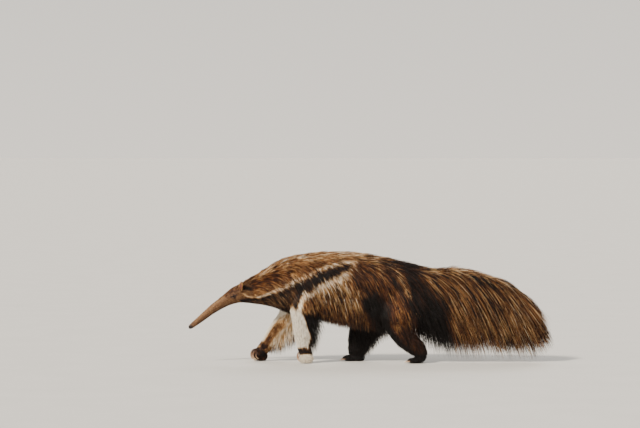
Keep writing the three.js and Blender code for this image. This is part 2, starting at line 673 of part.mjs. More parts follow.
for (const leg of legs) {
  const locks = legRows[leg.name].flatMap((row) => lockRow(leg.stations, leg.side, row, []));
  const solid = withLocks(legSolid(leg.stations, leg.paw, leg.side), locks);
  addNode(leg.name, solid.subtract(torsoGrown).subtract(neckGrown), leg.colour, 0.9);
  const grown = legSolid(leg.stations, leg.paw, leg.side, nodeGap);
  const toes = leg.paw[1];
  if (leg.name.startsWith("fore")) {
    for (const { digit, across, ahead, high, slope, radius, length } of foreClaws) {
      const start = new THREE.Vector3(toes.x - ahead, leg.side * (toes.y + across), high);
      const horn = claw(start, slope, clawTipSlope, length, radius, 0.7, 5, 5);
      addNode(`claw_${leg.name}_${digit}`, aboveFloor(horn).subtract(grown), colours.claw, 0.4);
    }
  } else {
    for (let digit = 1; digit <= hindClaws.count; digit++) {
      const across = (digit - (hindClaws.count + 1) / 2) * hindClaws.spacing;
      const reach = toes.long * Math.sqrt(1 - (across / toes.wide) ** 2) - 6;
      const start = new THREE.Vector3(toes.x - reach, leg.side * (toes.y + across), hindClaws.high);
      const { slope, tipSlope, length, radius } = hindClaws;
      const horn = claw(start, slope, tipSlope, length, radius, 0.8, 5, 3);
      addNode(`claw_${leg.name}_${digit}`, aboveFloor(horn).subtract(grown), colours.claw, 0.4);
    }
  }
}

// The origin lies on the floor under the middle of the animal
const box = new THREE.Box3().setFromObject(root);
root.position.set(-(box.min.x + box.max.x) / 2, -(box.min.y + box.max.y) / 2, 0);

export default root;
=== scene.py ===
# A giant anteater at life size, walking: one skin, a coat of solid tufts, eyes, ears and claws.
import math

import bpy
import numpy as np
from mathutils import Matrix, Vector


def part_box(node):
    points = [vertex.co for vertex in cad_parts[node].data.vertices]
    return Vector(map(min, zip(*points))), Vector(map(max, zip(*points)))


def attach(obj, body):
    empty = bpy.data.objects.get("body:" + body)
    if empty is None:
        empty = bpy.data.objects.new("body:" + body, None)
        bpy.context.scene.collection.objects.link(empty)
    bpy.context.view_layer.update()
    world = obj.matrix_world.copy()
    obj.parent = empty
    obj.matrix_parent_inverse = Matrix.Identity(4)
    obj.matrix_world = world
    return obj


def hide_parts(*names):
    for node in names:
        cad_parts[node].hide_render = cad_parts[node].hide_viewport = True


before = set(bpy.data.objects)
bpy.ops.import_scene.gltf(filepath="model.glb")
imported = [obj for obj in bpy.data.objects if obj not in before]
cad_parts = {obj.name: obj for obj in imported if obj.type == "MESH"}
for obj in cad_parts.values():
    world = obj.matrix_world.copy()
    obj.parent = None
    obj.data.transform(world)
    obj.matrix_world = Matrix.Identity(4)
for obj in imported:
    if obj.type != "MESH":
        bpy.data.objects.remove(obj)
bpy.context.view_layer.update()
mm = 0.001
random = np.random.default_rng(11)

# The animal's own drawing starts at the floor under its shoulder; the frame's origin lies under its middle
eyeDrawn = (-0.744, -0.035)
eyeLow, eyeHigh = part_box("eye_left")
shift = np.array([(eyeLow[i] + eyeHigh[i]) / 2 - eyeDrawn[i] for i in (0, 1)] + [0.0])

# Spine: x, y, z, slope, reach above, reach below, half width, narrowing towards the top
spineRows = [
    (-993, 0, 186, 42, 3, 3, 4, 0), (-984, 0, 194, 42, 12, 12, 13, 0),
    (-942, 0, 227, 41, 17, 17, 17, 0), (-868, 0, 287, 36, 23, 23, 21, 0),
    (-796, 0, 336, 31, 31, 31, 28, 0), (-742, 0, 366, 27, 43, 43, 39, 0.05),
    (-700, 0, 380, 23, 49, 56, 46, 0.08), (-648, 0, 393, 19, 62, 72, 57, 0.1),
    (-570, 0, 415, 14, 80, 98, 70, 0.15), (-490, 0, 432, 8, 112, 130, 90, 0.18),
    (-400, 0, 437, 3, 134, 150, 112, 0.2), (-270, 0, 436, 0, 148, 162, 122, 0.2),
    (-120, 0, 432, 0, 152, 166, 126, 0.18), (20, 0, 424, 0, 144, 160, 124, 0.15),
    (140, 0, 414, 0, 130, 146, 116, 0.1), (230, 0, 418, 0, 106, 132, 96, 0),
    (300, 0, 428, 2, 76, 140, 72, -0.15), (390, 0, 440, 8, 56, 165, 60, -0.3),
    (510, 0, 446, 14, 54, 180, 55, -0.35), (640, 0, 420, 18, 52, 175, 48, -0.35),
    (760, 0, 385, 20, 52, 160, 40, -0.35), (844, 0, 340, 22, 50, 122, 30, -0.3),
    (900, 0, 290, 26, 34, 66, 16, -0.2),
]
# Legs from the trunk down: x, y, z, slope, reach behind, reach in front, half width, narrowing
legRows = {
    "foreleg_left": [
        (-340, 66, 430, -84, 62, 66, 46, 0), (-366, 84, 305, -91, 56, 58, 44, 0),
        (-374, 88, 230, -90, 44, 46, 40, 0), (-365, 88, 160, -86, 42, 44, 34, 0),
        (-364, 87, 97, -84, 28, 30, 28, 0), (-352, 86, 60, -84, 30, 31, 30, 0),
        (-348, 86, 26, -90, 34, 35, 33, 0),
    ],
    "foreleg_right": [
        (-366, 66, 430, -100, 62, 66, 46, 0), (-408, 84, 320, -116, 54, 56, 44, 0),
        (-454, 88, 246, -124, 45, 46, 40, 0), (-513, 88, 170, -126, 38, 40, 34, 0),
        (-560, 86, 105, -124, 29, 30, 28, 0), (-588, 85, 66, -118, 30, 31, 29, 0),
        (-604, 84, 36, -112, 32, 33, 31, 0),
    ],
    "hindleg_left": [
        (170, 56, 400, -95, 100, 100, 56, 0), (146, 80, 310, -92, 84, 84, 56, 0),
        (142, 90, 240, -66, 64, 62, 48, 0), (186, 90, 150, -50, 50, 50, 39, 0),
        (258, 88, 82, -58, 38, 40, 32, 0), (280, 87, 46, -95, 27, 30, 30, 0),
        (276, 86, 20, -100, 24, 28, 31, 0),
    ],
    "hindleg_right": [
        (150, 56, 400, -104, 100, 100, 56, 0), (74, 80, 315, -126, 82, 84, 54, 0),
        (-8, 88, 238, -116, 60, 60, 46, 0), (-52, 88, 160, -104, 48, 50, 38, 0),
        (-68, 86, 90, -94, 38, 40, 32, 0), (-70, 86, 40, -90, 40, 40, 32, 0),
    ],
}
sides = {"left": -1, "right": 1}
legSides = {name: sides[name.split("_")[1]] for name in legRows}
# Paws, each of two balls: centre and the three radii
paws = {
    "foreleg_left": [(-346, 94, 26, 38, 27, 30), (-356, 76, 46, 30, 28, 24)],
    "foreleg_right": [(-600, 94, 27, 38, 26, 31), (-614, 76, 46, 34, 27, 26)],
    "hindleg_left": [(268, 86, 18, 28, 33, 24), (244, 87, 12, 34, 37, 17)],
    "hindleg_right": [(-62, 86, 22, 38, 34, 30), (-108, 87, 13, 36, 38, 19)],
}


# Whether a leg is a fore or a hind one, from its name
def kindOf(name):
    return name[:4]


# Values of the rows at position t, where row number k stands at t = k: a Catmull-Rom curve
# runs through every value
def sectionsAt(rows, t):
    last = len(rows) - 1
    i = np.clip(np.floor(t).astype(int), 0, last - 1)
    s = (t - i)[:, None]
    a, b, c, d = (rows[np.clip(i + k, 0, last)] for k in (-1, 0, 1, 2))
    return 0.5 * (2 * b + (c - a) * s + (2 * a - 5 * b + 4 * c - d) * s**2 + (3 * b - a - 3 * c + d) * s**3)


# A limb: its rows in metres and radians, and many sections between them for finding a place beside it
def makeLimb(table, side=1, perRow=60):
    rows = np.array(table, float)
    rows[:, [0, 1, 2, 4, 5, 6]] *= mm
    rows[:, 1] *= side
    rows[:, :3] += shift
    rows[:, 3] = np.radians(rows[:, 3])
    last = len(rows) - 1
    dense = sectionsAt(rows, np.linspace(0, last, perRow * last + 1))
    dense = np.column_stack([dense, np.cos(dense[:, 3]), np.sin(dense[:, 3])])
    return {"rows": rows, "dense": dense, "perRow": perRow, "last": last, "side": side}


# Points of a limb's surface: the section's centre, plus its normal by the reach times the sine of the
# angle, plus sideways by the half width times its cosine. Also the direction that points outwards.
def surfaceAt(limb, t, angle, grow):
    s = sectionsAt(limb["rows"], t)
    rise = np.sin(angle)
    normal = np.stack([-np.sin(s[:, 3]), 0 * rise, np.cos(s[:, 3])], 1)
    reach = np.maximum(np.where(rise > 0, s[:, 4], s[:, 5]) + grow, 0.5 * mm)
    half = np.maximum(s[:, 6] * (1 - s[:, 7] * rise) + grow, 0.5 * mm)
    point = s[:, :3] + normal * (reach * rise)[:, None]
    point[:, 1] += half * np.cos(angle)
    out = normal * (rise / reach)[:, None]
    out[:, 1] += np.cos(angle) / half
    return point, unit(out)


def unit(v):
    return v / np.maximum(np.linalg.norm(v, axis=-1, keepdims=True), 1e-9)


# Where points lie beside a limb: the section whose plane holds each, found by halving, how far the
# point is up and out in it, and the section's reach and half width there
def besideLimb(limb, points):
    dense = limb["dense"]
    low = np.zeros(len(points), int)
    high = np.full(len(points), len(dense) - 1)
    while (high - low).max() > 1:
        middle = (low + high) // 2
        s = dense[middle]
        ahead = (points[:, 0] - s[:, 0]) * s[:, 8] + (points[:, 2] - s[:, 2]) * s[:, 9] > 0
        low = np.where(ahead, middle, low)
        high = np.where(ahead, high, middle)
    s = dense[low]
    normal = np.stack([-s[:, 9], 0 * s[:, 9], s[:, 8]], 1)
    rise = (points[:, 0] - s[:, 0]) * normal[:, 0] + (points[:, 2] - s[:, 2]) * normal[:, 2]
    out = points[:, 1] - s[:, 1]
    beyond = (low == 0) | (high == len(dense) - 1)
    return {"t": low / limb["perRow"], "s": s, "normal": normal, "rise": rise, "out": out, "beyond": beyond}


# How deep a section grown by the lift holds each point: below 1 it lies inside
def depthIn(limb, points, lift=0.0):
    b = besideLimb(limb, points)
    b["reach"] = np.where(b["rise"] > 0, b["s"][:, 4], b["s"][:, 5]) + lift
    egg = b["s"][:, 7] * np.clip(b["rise"] / b["reach"], -1, 1)
    b["half"] = b["s"][:, 6] * (1 - egg) + lift
    b["depth"] = np.where(b["beyond"], 1, np.hypot(b["rise"] / b["reach"], b["out"] / b["half"]))
    return b


# Moves points outwards in their section until they are clear of the limb by the lift
def pushOut(limb, points, lift):
    b = depthIn(limb, points, lift)
    scale = np.where(b["depth"] < 1, 1 / np.maximum(b["depth"], 0.05) - 1, 0)
    moved = points + b["normal"] * (b["rise"] * scale)[:, None]
    moved[:, 1] += b["out"] * scale
    return moved


# Moves points straight out to the side until they are clear of a leg
def pushAside(limb, points, lift):
    b = depthIn(limb, points, lift)
    level = np.sqrt(np.maximum(1 - (b["rise"] / b["reach"]) ** 2, 0))
    inside = (b["depth"] < 1) & (np.sign(points[:, 1]) == limb["side"])
    moved = points.copy()
    moved[:, 1] = np.where(inside, b["s"][:, 1] + limb["side"] * b["half"] * level, points[:, 1])
    return moved


spine = makeLimb(spineRows)
legs = {name: makeLimb(rows, legSides[name]) for name, rows in legRows.items()}
print("stage: limbs")


# A mesh object from arrays, with one value a vertex for each attribute
def addPiece(name, points, faces, attributes=None, uv=None, smooth=True):
    mesh = bpy.data.meshes.new(name)
    mesh.vertices.add(len(points))
    mesh.vertices.foreach_set("co", np.ascontiguousarray(points, np.float32).ravel())
    mesh.loops.add(faces.size)
    mesh.loops.foreach_set("vertex_index", np.ascontiguousarray(faces, np.int32).ravel())
    mesh.polygons.add(len(faces))
    mesh.polygons.foreach_set("loop_start", np.arange(0, faces.size, faces.shape[1], dtype=np.int32))
    mesh.polygons.foreach_set("use_smooth", np.full(len(faces), smooth))
    mesh.update(calc_edges=True)
    for key, values in (attributes or {}).items():
        layer = mesh.attributes.new(key, "FLOAT", "POINT")
        layer.data.foreach_set("value", np.ascontiguousarray(values, np.float32))
    if uv is not None:
        layer = mesh.uv_layers.new(name="OFBake")
        layer.uv.foreach_set("vector", np.ascontiguousarray(uv, np.float32).ravel())
    piece = bpy.data.objects.new(name, mesh)
    bpy.context.scene.collection.objects.link(piece)
    return piece


# Triangles of a grid of rows and columns whose columns close on themselves; the rows close too, or
# each end gets a fan on a middle point
def closedGrid(points, wrapRows=False):
    rows, columns = points.shape[:2]
    flat = points.reshape(-1, 3)
    r = np.arange(rows if wrapRows else rows - 1)[:, None]
    c = np.arange(columns)[None, :]
    a = r * columns + c
    b = r * columns + (c + 1) % columns
    nextRow = (r + 1) % rows
    d = nextRow * columns + c
    e = nextRow * columns + (c + 1) % columns
    faces = np.concatenate([np.stack([a, b, e], -1).reshape(-1, 3), np.stack([a, e, d], -1).reshape(-1, 3)])
    if wrapRows:
        return flat, faces
    first, final = len(flat), len(flat) + 1
    c = np.arange(columns)
    step = (c + 1) % columns
    base = (rows - 1) * columns
    caps = [np.stack([0 * c + first, step, c], -1), np.stack([0 * c + final, base + c, base + step], -1)]
    flat = np.concatenate([flat, points[0].mean(0)[None], points[-1].mean(0)[None]])
    return flat, np.concatenate([faces, *caps])


def joinParts(parts):
    starts = np.cumsum([0] + [len(p) for p, _ in parts])
    return np.concatenate([p for p, _ in parts]), np.concatenate([f + s for (_, f), s in zip(parts, starts)])


# A limb's skin between two positions, in rings of equal spacing along its line
def loftPart(limb, start, end, spacing, columns, grow):
    ts = np.linspace(start, end, 400)
    line = sectionsAt(limb["rows"], ts)[:, :3]
    length = np.concatenate([[0], np.cumsum(np.linalg.norm(np.diff(line, axis=0), axis=1))])
    rings = int(length[-1] / spacing) + 2
    t = np.interp(np.linspace(0, length[-1], rings), length, ts)
    angle = np.linspace(0, 2 * np.pi, columns, endpoint=False)
    tt, aa = np.meshgrid(t, angle, indexing="ij")
    growing = np.interp(tt.ravel(), *grow) if isinstance(grow, tuple) else grow
    point, _ = surfaceAt(limb, tt.ravel(), aa.ravel(), growing)
    return point.reshape(rings, columns, 3)


# A ball with three radii: circles about its X axis from one end to the other
def ballPart(centre, radii, rings=14, columns=20):
    s = np.linspace(0.02, 0.98, rings)[:, None] * np.pi
    a = np.linspace(0, 2 * np.pi, columns, endpoint=False)[None, :]
    unitBall = np.stack([-np.cos(s) + 0 * a, np.sin(s) * np.cos(a), np.sin(s) * np.sin(a)], -1)
    return unitBall * np.array(radii) + np.array(centre)


# Places drawn in millimetres, brought into the frame
def placed(x, y, z):
    return np.array([x, y, z]) * mm + shift


# Marks of the coat

# Bands and areas of the coat as seen from the side: points of a line or outline in millimetres, half
# width, softness of the edge, then tone from black 0 to cream 1, warmth, and how much tufts differ
trunkBase = (0.33, 0.7, 0.6)
trunkMarks = [
    # back, flank and belly, the belly's dark band partly painted shade
    ("line", [(-250, 600), (-60, 600), (30, 592)], 45, 40, (0.44, 0.62, 0.75)),
    ("line", [(-230, 400), (-120, 380), (-40, 360)], 70, 50, (0.41, 0.72, 0.95)),
    ("line", [(-60, 500), (0, 440), (60, 420)], 60, 50, (0.22, 0.84, 0.5)),
    ("line", [(-240, 290), (-120, 260), (-60, 240)], 45, 60, (0.24, 0.7, 0.6)),
    ("line", [(0, 350), (60, 290), (90, 180)], 60, 50, (0.06, 0.5, 0.15)),
    ("line", [(110, 420), (150, 350), (160, 280)], 50, 50, (0.27, 0.92, 0.55)),
    # dark band of the belly: dark fur with painted shade under the body
    ("line", [(-320, 240), (-200, 210), (-60, 190)], 24, 36, (0.12, 0.5, 0.3)),
    # tail
    ("line", [(400, 430), (520, 400), (640, 360), (800, 290), (960, 160)], 160, 60, (0.27, 0.7, 0.8)),
    ("line", [(330, 515), (440, 515), (580, 510)], 14, 36, (0.38, 0.74, 0.75)),
    ("area", [(215, 400), (300, 425), (360, 385), (405, 315), (440, 230), (460, 120), (300, 90),
     (240, 200)], 0, 60, (0.04, 0.5, 0.2)),
    ("line", [(395, 370), (440, 240), (465, 120)], 26, 44, (0.18, 0.75, 0.65)),
    # rump: black with golden streaks
    ("line", [(102, 592), (172, 512), (236, 384)], 72, 44, (0.07, 0.6, 0.45)),
    ("line", [(-60, 600), (30, 588), (100, 545), (165, 458), (196, 395)], 12, 30, (0.40, 0.66, 0.85)),
    # neck: golden mane, its gold partly a painted highlight, over a red-brown patch, with a thin dark top
    # edge
    ("line", [(-693, 400), (-595, 430), (-498, 480), (-410, 520), (-329, 542), (-249, 560)], 42, 16,
     (0.39, 0.76, 0.45)),
    # golden band of the mane: fur colour with a painted highlight on it
    ("line", [(-612, 480), (-531, 530), (-450, 556), (-370, 574), (-289, 580), (-168, 584), (-60, 580)], 20,
     26, (0.55, 0.72, 0.6)),
    ("line", [(-693, 448), (-579, 520), (-491, 572), (-386, 604), (-289, 612), (-128, 610)], 8, 14,
     (0.26, 0.7, 0.4)),
    ("line", [(-650, 420), (-580, 450), (-515, 478)], 16, 24, (0.27, 0.95, 0.35)),
    ("line", [(-672, 400), (-620, 386), (-580, 392)], 10, 16, (0.50, 0.8, 0.35)),
    # head: tan snout with a painted highlight along its top and painted shade below, with a dark tip
    ("line", [(-990, 190), (-868, 290), (-740, 370), (-700, 385)], 60, 12, (0.44, 0.38, 0.22)),
    # painted highlight along the top of the snout
    ("line", [(-960, 232), (-868, 308), (-800, 358)], 8, 18, (0.57, 0.34, 0.2)),
    ("line", [(-790, 372), (-740, 402), (-700, 428)], 12, 22, (0.37, 0.62, 0.25)),
    # painted shade along the underside of the snout and jaw
    ("line", [(-940, 206), (-868, 258), (-796, 302), (-742, 320), (-700, 326)], 5, 14, (0.22, 0.5, 0.2)),
    ("line", [(-1000, 178), (-982, 192)], 8, 14, (0.10, 0.5, 0.1)),
    ("line", [(-758, 360), (-732, 370)], 3, 7, (0.16, 0.5, 0.1)),
    # the dark wedge of the throat, chest and shoulder, grizzled in front
    ("area", [(-712, 346), (-668, 354), (-612, 352), (-571, 370), (-531, 389), (-482, 406), (-450, 433),
     (-426, 450), (-386, 463), (-337, 482), (-297, 507), (-249, 524), (-168, 541), (-112, 545), (-122, 530),
     (-150, 497), (-196, 478), (-252, 458), (-300, 430), (-340, 405), (-372, 375), (-384, 340), (-392, 300),
     (-380, 200), (-520, 200), (-620, 270), (-700, 320)], 0, 9, (0.10, 0.45, 0.3)),
    ("area", [(-680, 340), (-600, 345), (-520, 380), (-470, 395), (-420, 430), (-400, 380), (-420, 310),
     (-520, 310), (-640, 320)], 0, 26, (0.26, 0.4, 0.6)),
    # dark patch just behind the ear: dark fur with painted shade on it
    ("line", [(-688, 410), (-655, 404)], 7, 13, (0.06, 0.5, 0.2)),
    # the cream lines on both sides of the wedge, and the top of the pale foreleg
    ("line", [(-398, 300), (-385, 262), (-372, 235)], 16, 14, (0.95, 0.3, 0.2)),
    ("line", [(-692, 378), (-668, 363), (-612, 361)], 4, 8, (0.78, 0.6, 0.2)),
    ("line", [(-620, 361), (-571, 379), (-531, 399), (-482, 416), (-450, 444), (-426, 460), (-386, 473),
     (-337, 493), (-297, 519), (-249, 534), (-168, 550), (-105, 558)], 3.5, 6, (0.98, 0.34, 0.15)),
    ("line", [(-98, 550), (-116, 529), (-144, 496)], 4, 10, (0.97, 0.36, 0.25)),
    ("line", [(-138, 500), (-192, 473), (-249, 453), (-297, 424), (-337, 400), (-370, 372), (-382, 339),
     (-394, 300)], 10, 14, (0.97, 0.38, 0.35)),
]
# The right thigh: how far the marks move, and between which places aside, in height, ahead and behind
thigh = {
    "swing": 90, "aside": (20 * mm, 60 * mm), "height": (300, 430), "front": (-220, -40),
    "rear": (180, 380),
}


# Distance from points to a line through the given corners: the least over its stretches of the length
# from the point to its nearest place on that stretch
def lineDistance(x, z, corners, close=False):
    ends = corners[1:] + corners[:1] if close else corners[1:]
    best = np.full(x.shape, 1e9)
    for (ax, az), (bx, bz) in zip(corners, ends):
        dx, dz = bx - ax, bz - az
        share = np.clip(((x - ax) * dx + (z - az) * dz) / (dx * dx + dz * dz), 0, 1)
        best = np.minimum(best, np.hypot(x - ax - share * dx, z - az - share * dz))
    return best


# Whether points lie inside an outline: the number of its sides that a level ray crosses is odd
def insideOutline(x, z, corners):
    inside = np.zeros(x.shape, bool)
    for (ax, az), (bx, bz) in zip(corners, corners[1:] + corners[:1]):
        crosses = (az > z) != (bz > z)
        with np.errstate(divide="ignore", invalid="ignore"):
            inside ^= crosses & (x < ax + (z - az) * (bx - ax) / (bz - az))
    return inside


def ramp(x, low, high):
    s = np.clip((x - low) / (high - low), 0, 1)
    return s * s * (3 - 2 * s)


# Tone, warmth and spread at points of the head and trunk: each mark is laid over the ones before it.
# On the right the marks about the thigh lie further forward, because that leg reaches forward.
def trunkTone(points):
    x = (points[:, 0] - shift[0]) / mm
    z = points[:, 2] / mm
    aside = ramp(points[:, 1] - shift[1], *thigh["aside"])
    near = (1 - ramp(z, *thigh["height"])) * ramp(x, *thigh["front"]) * (1 - ramp(x, *thigh["rear"]))
    x = x + thigh["swing"] * aside * near
    values = np.tile(trunkBase, (len(x), 1))
    for kind, corners, half, soft, target in trunkMarks:
        away = lineDistance(x, z, corners, close=kind == "area")
        if kind == "area":
            away = np.where(insideOutline(x, z, corners), -away, away)
        cover = np.clip((half - away) / soft + 0.5, 0, 1)[:, None]
        values += (np.array(target) - values) * cover
    return values


def lay(values, cover, target):
    return values + (np.array(target) - values) * np.clip(cover, 0, 1)[:, None]


# Where points of a leg lie: their position along it, how far behind its middle line, and how far out
# from the body, where 1 is the leg's surface
def legPlaces(limb, points):
    b = depthIn(limb, points)
    back = b["rise"] / np.maximum(b["reach"], mm)
    outer = b["out"] * limb["side"] / np.maximum(b["half"], mm)
    return b["t"], back, outer


# Forelegs: cream, with a black rear fringe, a black bracelet and a cream hand. The reaching leg shows
# its inner side: cream in front, a blond fringe behind, tan lower down, and a dark palm. Pairs of
# numbers say between which positions on the leg, or places behind and in front, a colour comes in.
foreTones = {
    "fringe": (0.07, 0.4, 0.15), "pale": (0.97, 0.28, 0.12), "bracelet": (0.13, 0.5, 0.4),
    "hand": (0.93, 0.28, 0.12), "blond": (0.80, 0.6, 0.4), "tan": (0.42, 0.62, 0.35),
    "palm": (0.12, 0.6, 0.2), "knuckles": (0.36, 0.55, 0.3),
    "paleEdge": ((0.8, 1.2, 2.0, 3.0, 4.2), (-0.2, 0.1, 0.6, 0.95, 1.0)), "edgeSoft": (-0.12, 0.12),
    "from": (0.6, 1.1), "inside": (-0.1, 0.4), "blondBack": (-0.5, -0.1), "tanFrom": (1.8, 2.8),
    "tanFront": (-0.85, -0.45), "tanBack": (0.2, 0.65), "braceletFrom": (4.0, 4.3),
    "braceletTo": (5.05, 5.3), "innerBracelet": 0.5, "handFrom": (5.1, 5.3), "palmFrom": (5.0, 5.3),
    "knucklesFrom": (4.9, 5.3), "knucklesFront": (0.1, 0.6),
}


def foreTone(limb, points):
    tones = foreTones
    t, back, outer = legPlaces(limb, points)
    reaching = limb is legs["foreleg_right"]
    inner = ramp(-outer, *tones["inside"]) if reaching else np.zeros(len(t))
    upper = ramp(t, *tones["from"])
    edge = np.interp(t, *tones["paleEdge"])
    values = lay(trunkTone(points), upper, tones["fringe"])
    values = lay(values, upper * ramp(edge - back, *tones["edgeSoft"]), tones["pale"])
    values = lay(values, upper * inner * ramp(back, *tones["blondBack"]), tones["blond"])
    middle = ramp(back, *tones["tanFront"]) * (1 - ramp(back, *tones["tanBack"]))
    values = lay(values, inner * ramp(t, *tones["tanFrom"]) * middle, tones["tan"])
    band = ramp(t, *tones["braceletFrom"]) * (1 - ramp(t, *tones["braceletTo"]))
    values = lay(values, band * (1 - tones["innerBracelet"] * inner), tones["bracelet"])
    if not reaching:
        return lay(values, ramp(t, *tones["handFrom"]), tones["hand"])
    values = lay(values, ramp(t, *tones["palmFrom"]), tones["palm"])
    knuckles = ramp(t, *tones["knucklesFrom"]) * ramp(-back, *tones["knucklesFront"])
    return lay(values, knuckles, tones["knuckles"])


# Hind legs: black, with a red-brown thigh on the outside and a dark brown shank
hindTones = {
    "base": (0.07, 0.5, 0.12), "shank": (0.17, 0.7, 0.3), "thigh": (0.36, 0.92, 0.6),
    "outside": (-0.4, 0.3), "front": (-0.8, -0.35), "shankTo": (4.2, 5.0), "thighTo": (1.8, 3.0),
}


def hindTone(limb, points):
    t, back, outer = legPlaces(limb, points)
    outside = ramp(outer, *hindTones["outside"]) * ramp(back, *hindTones["front"])
    values = np.tile(hindTones["base"], (len(points), 1))
    values = lay(values, outside * (1 - ramp(t, *hindTones["shankTo"])), hindTones["shank"])
    return lay(values, (1 - ramp(t, *hindTones["thighTo"])) * outside, hindTones["thigh"])


toneOf = {name: {"fore": foreTone, "hind": hindTone}[kindOf(name)] for name in legs}
pawTones = {
    "foreleg_left": foreTones["hand"], "foreleg_right": (0.22, 0.6, 0.3),
    "hindleg_left": (0.09, 0.5, 0.15), "hindleg_right": hindTones["base"],
}


# Materials

def fromHex(code):
    values = [int(code[i : i + 2], 16) / 255 for i in (1, 3, 5)]
    return (*[v / 12.92 if v <= 0.04045 else ((v + 0.055) / 1.055) ** 2.4 for v in values], 1.0)


def setInputs(node, values):
    for key, value in values.items():
        node.inputs[key].default_value = value


def addNode(tree, kind, place, inputs=None, **settings):
    node = tree.nodes.new("ShaderNode" + kind)
    node.location = place
    for key, value in settings.items():
        setattr(node, key, value)
    setInputs(node, inputs or {})
    return node


# Links between nodes, each given as a node and its output, then a node and its input
def connect(tree, *links):
    for source, out, target, into in links:
        tree.links.new(source.outputs[out], target.inputs[into])


def addMix(tree, place, inputs=None, **settings):
    return addNode(tree, "Mix", place, inputs, data_type="RGBA", **settings)


def addRange(tree, place, low, high, **inputs):
    return addNode(tree, "MapRange", place, {"To Min": low, "To Max": high, **inputs})


def addMath(tree, place, operation, inputs=None):
    return addNode(tree, "Math", place, inputs, operation=operation)


def addReader(tree, place, attribute):
    return addNode(tree, "Attribute", place, attribute_name=attribute)


# A colour ramp through stops, each a place and a colour
def addRamp(tree, place, stops):
    node = addNode(tree, "ValToRGB", place)
    elements = node.color_ramp.elements
    while len(elements) > 1:
        elements.remove(elements[-1])
    elements[0].position = stops[0][0]
    elements[0].color = fromHex(stops[0][1])
    for at, colour in stops[1:]:
        elements.new(at).color = fromHex(colour)
    return node


# Noise on the object's own coordinates
def addNoise(tree, place, scale, detail):
    coords = addNode(tree, "TexCoord", (place[0] - 200, place[1]))
    noise = addNode(tree, "TexNoise", place, {"Scale": scale, "Detail": detail})
    connect(tree, (coords, "Object", noise, "Vector"))
    return noise


hairColours = {
    "cool": [(0.0, "#040303"), (0.16, "#100b09"), (0.33, "#2e2017"), (0.52, "#7d6245"), (0.74, "#cdb794"),
             (1.0, "#fffaf0")],
    "warm": [(0.0, "#050302"), (0.16, "#180b06"), (0.33, "#4a230d"), (0.52, "#9c602b"), (0.74, "#e0ac66"),
             (1.0, "#fff0d0")],
}


# Colour of hair from its tone and warmth: two ramps mixed by the warmth, darkened towards the root
# as painted shade inside the coat, with fine patches of noise
def makeHairGroup():
    group = bpy.data.node_groups.new("hairColour", "ShaderNodeTree")
    for name in ("Tone", "Warmth", "Along"):
        group.interface.new_socket(name, in_out="INPUT", socket_type="NodeSocketFloat").default_value = 0.5
    group.interface.new_socket("Color", in_out="OUTPUT", socket_type="NodeSocketColor")
    group.interface.new_socket("Roughness", in_out="OUTPUT", socket_type="NodeSocketFloat")
    start = group.nodes.new("NodeGroupInput")
    end = group.nodes.new("NodeGroupOutput")
    start.location = (-900, 0)
    end.location = (500, 0)
    noise = addNoise(group, (-900, -300), 160.0, 2.0)
    patches = addMath(group, (-700, -300), "SUBTRACT", {1: 0.5})
    patchy = addMath(group, (-540, -200), "MULTIPLY_ADD", {1: 0.16})
    tips = addMath(group, (-540, 0), "MULTIPLY_ADD", {1: 0.10, 2: -0.04})
    value = addMath(group, (-380, -100), "ADD")
    cool = addRamp(group, (-200, 100), hairColours["cool"])
    warm = addRamp(group, (-200, -150), hairColours["warm"])
    mix = addMix(group, (80, 0))
    # painted shade: the colour is multiplied darker towards the root of each tuft
    shade = addRange(group, (80, -250), 0.55, 1.0, **{"From Max": 0.45})
    dark = addMix(group, (280, 0), {"Factor": 1.0}, blend_type="MULTIPLY")
    rough = addRange(group, (280, -300), 0.5, 0.68)
    connect(
        group, (noise, "Fac", patches, 0), (patches, 0, patchy, 0), (start, "Tone", patchy, 2),
        (start, "Along", tips, 0), (patchy, 0, value, 0), (tips, 0, value, 1),
        (value, 0, cool, "Fac"), (value, 0, warm, "Fac"), (start, "Warmth", mix, "Factor"),
        (cool, "Color", mix, 6), (warm, "Color", mix, 7), (start, "Along", shade, "Value"),
        (mix, 2, dark, 6), (shade, "Result", dark, 7), (dark, 2, end, "Color"),
        (noise, "Fac", rough, "Value"), (rough, "Result", end, "Roughness"))
    return group


hairGroup = makeHairGroup()


# The hair's colour group, fed by a piece's own attributes
def addHair(tree, place):
    hair = addNode(tree, "Group", place, node_tree=hairGroup)
    for attribute, socket in (("tone", "Tone"), ("warm", "Warmth"), ("along", "Along")):
        reader = addReader(tree, (place[0] - 250, place[1]), attribute)
        connect(tree, (reader, "Fac", hair, socket))
    return hair


def newMaterial(name, inputs):
    material = bpy.data.materials.new(name)
    material.use_nodes = True
    tree = material.node_tree
    shader = tree.nodes["Principled BSDF"]
    setInputs(shader, inputs)
    return material, tree, shader


def makeHairMaterial(name):
    material, tree, shader = newMaterial(
        name, {"Specular IOR Level": 0.22, "Sheen Weight": 0.04, "Sheen Roughness": 0.4})
    hair = addHair(tree, (-250, 100))
    connect(tree, (hair, "Color", shader, "Base Color"), (hair, "Roughness", shader, "Roughness"))
    return material


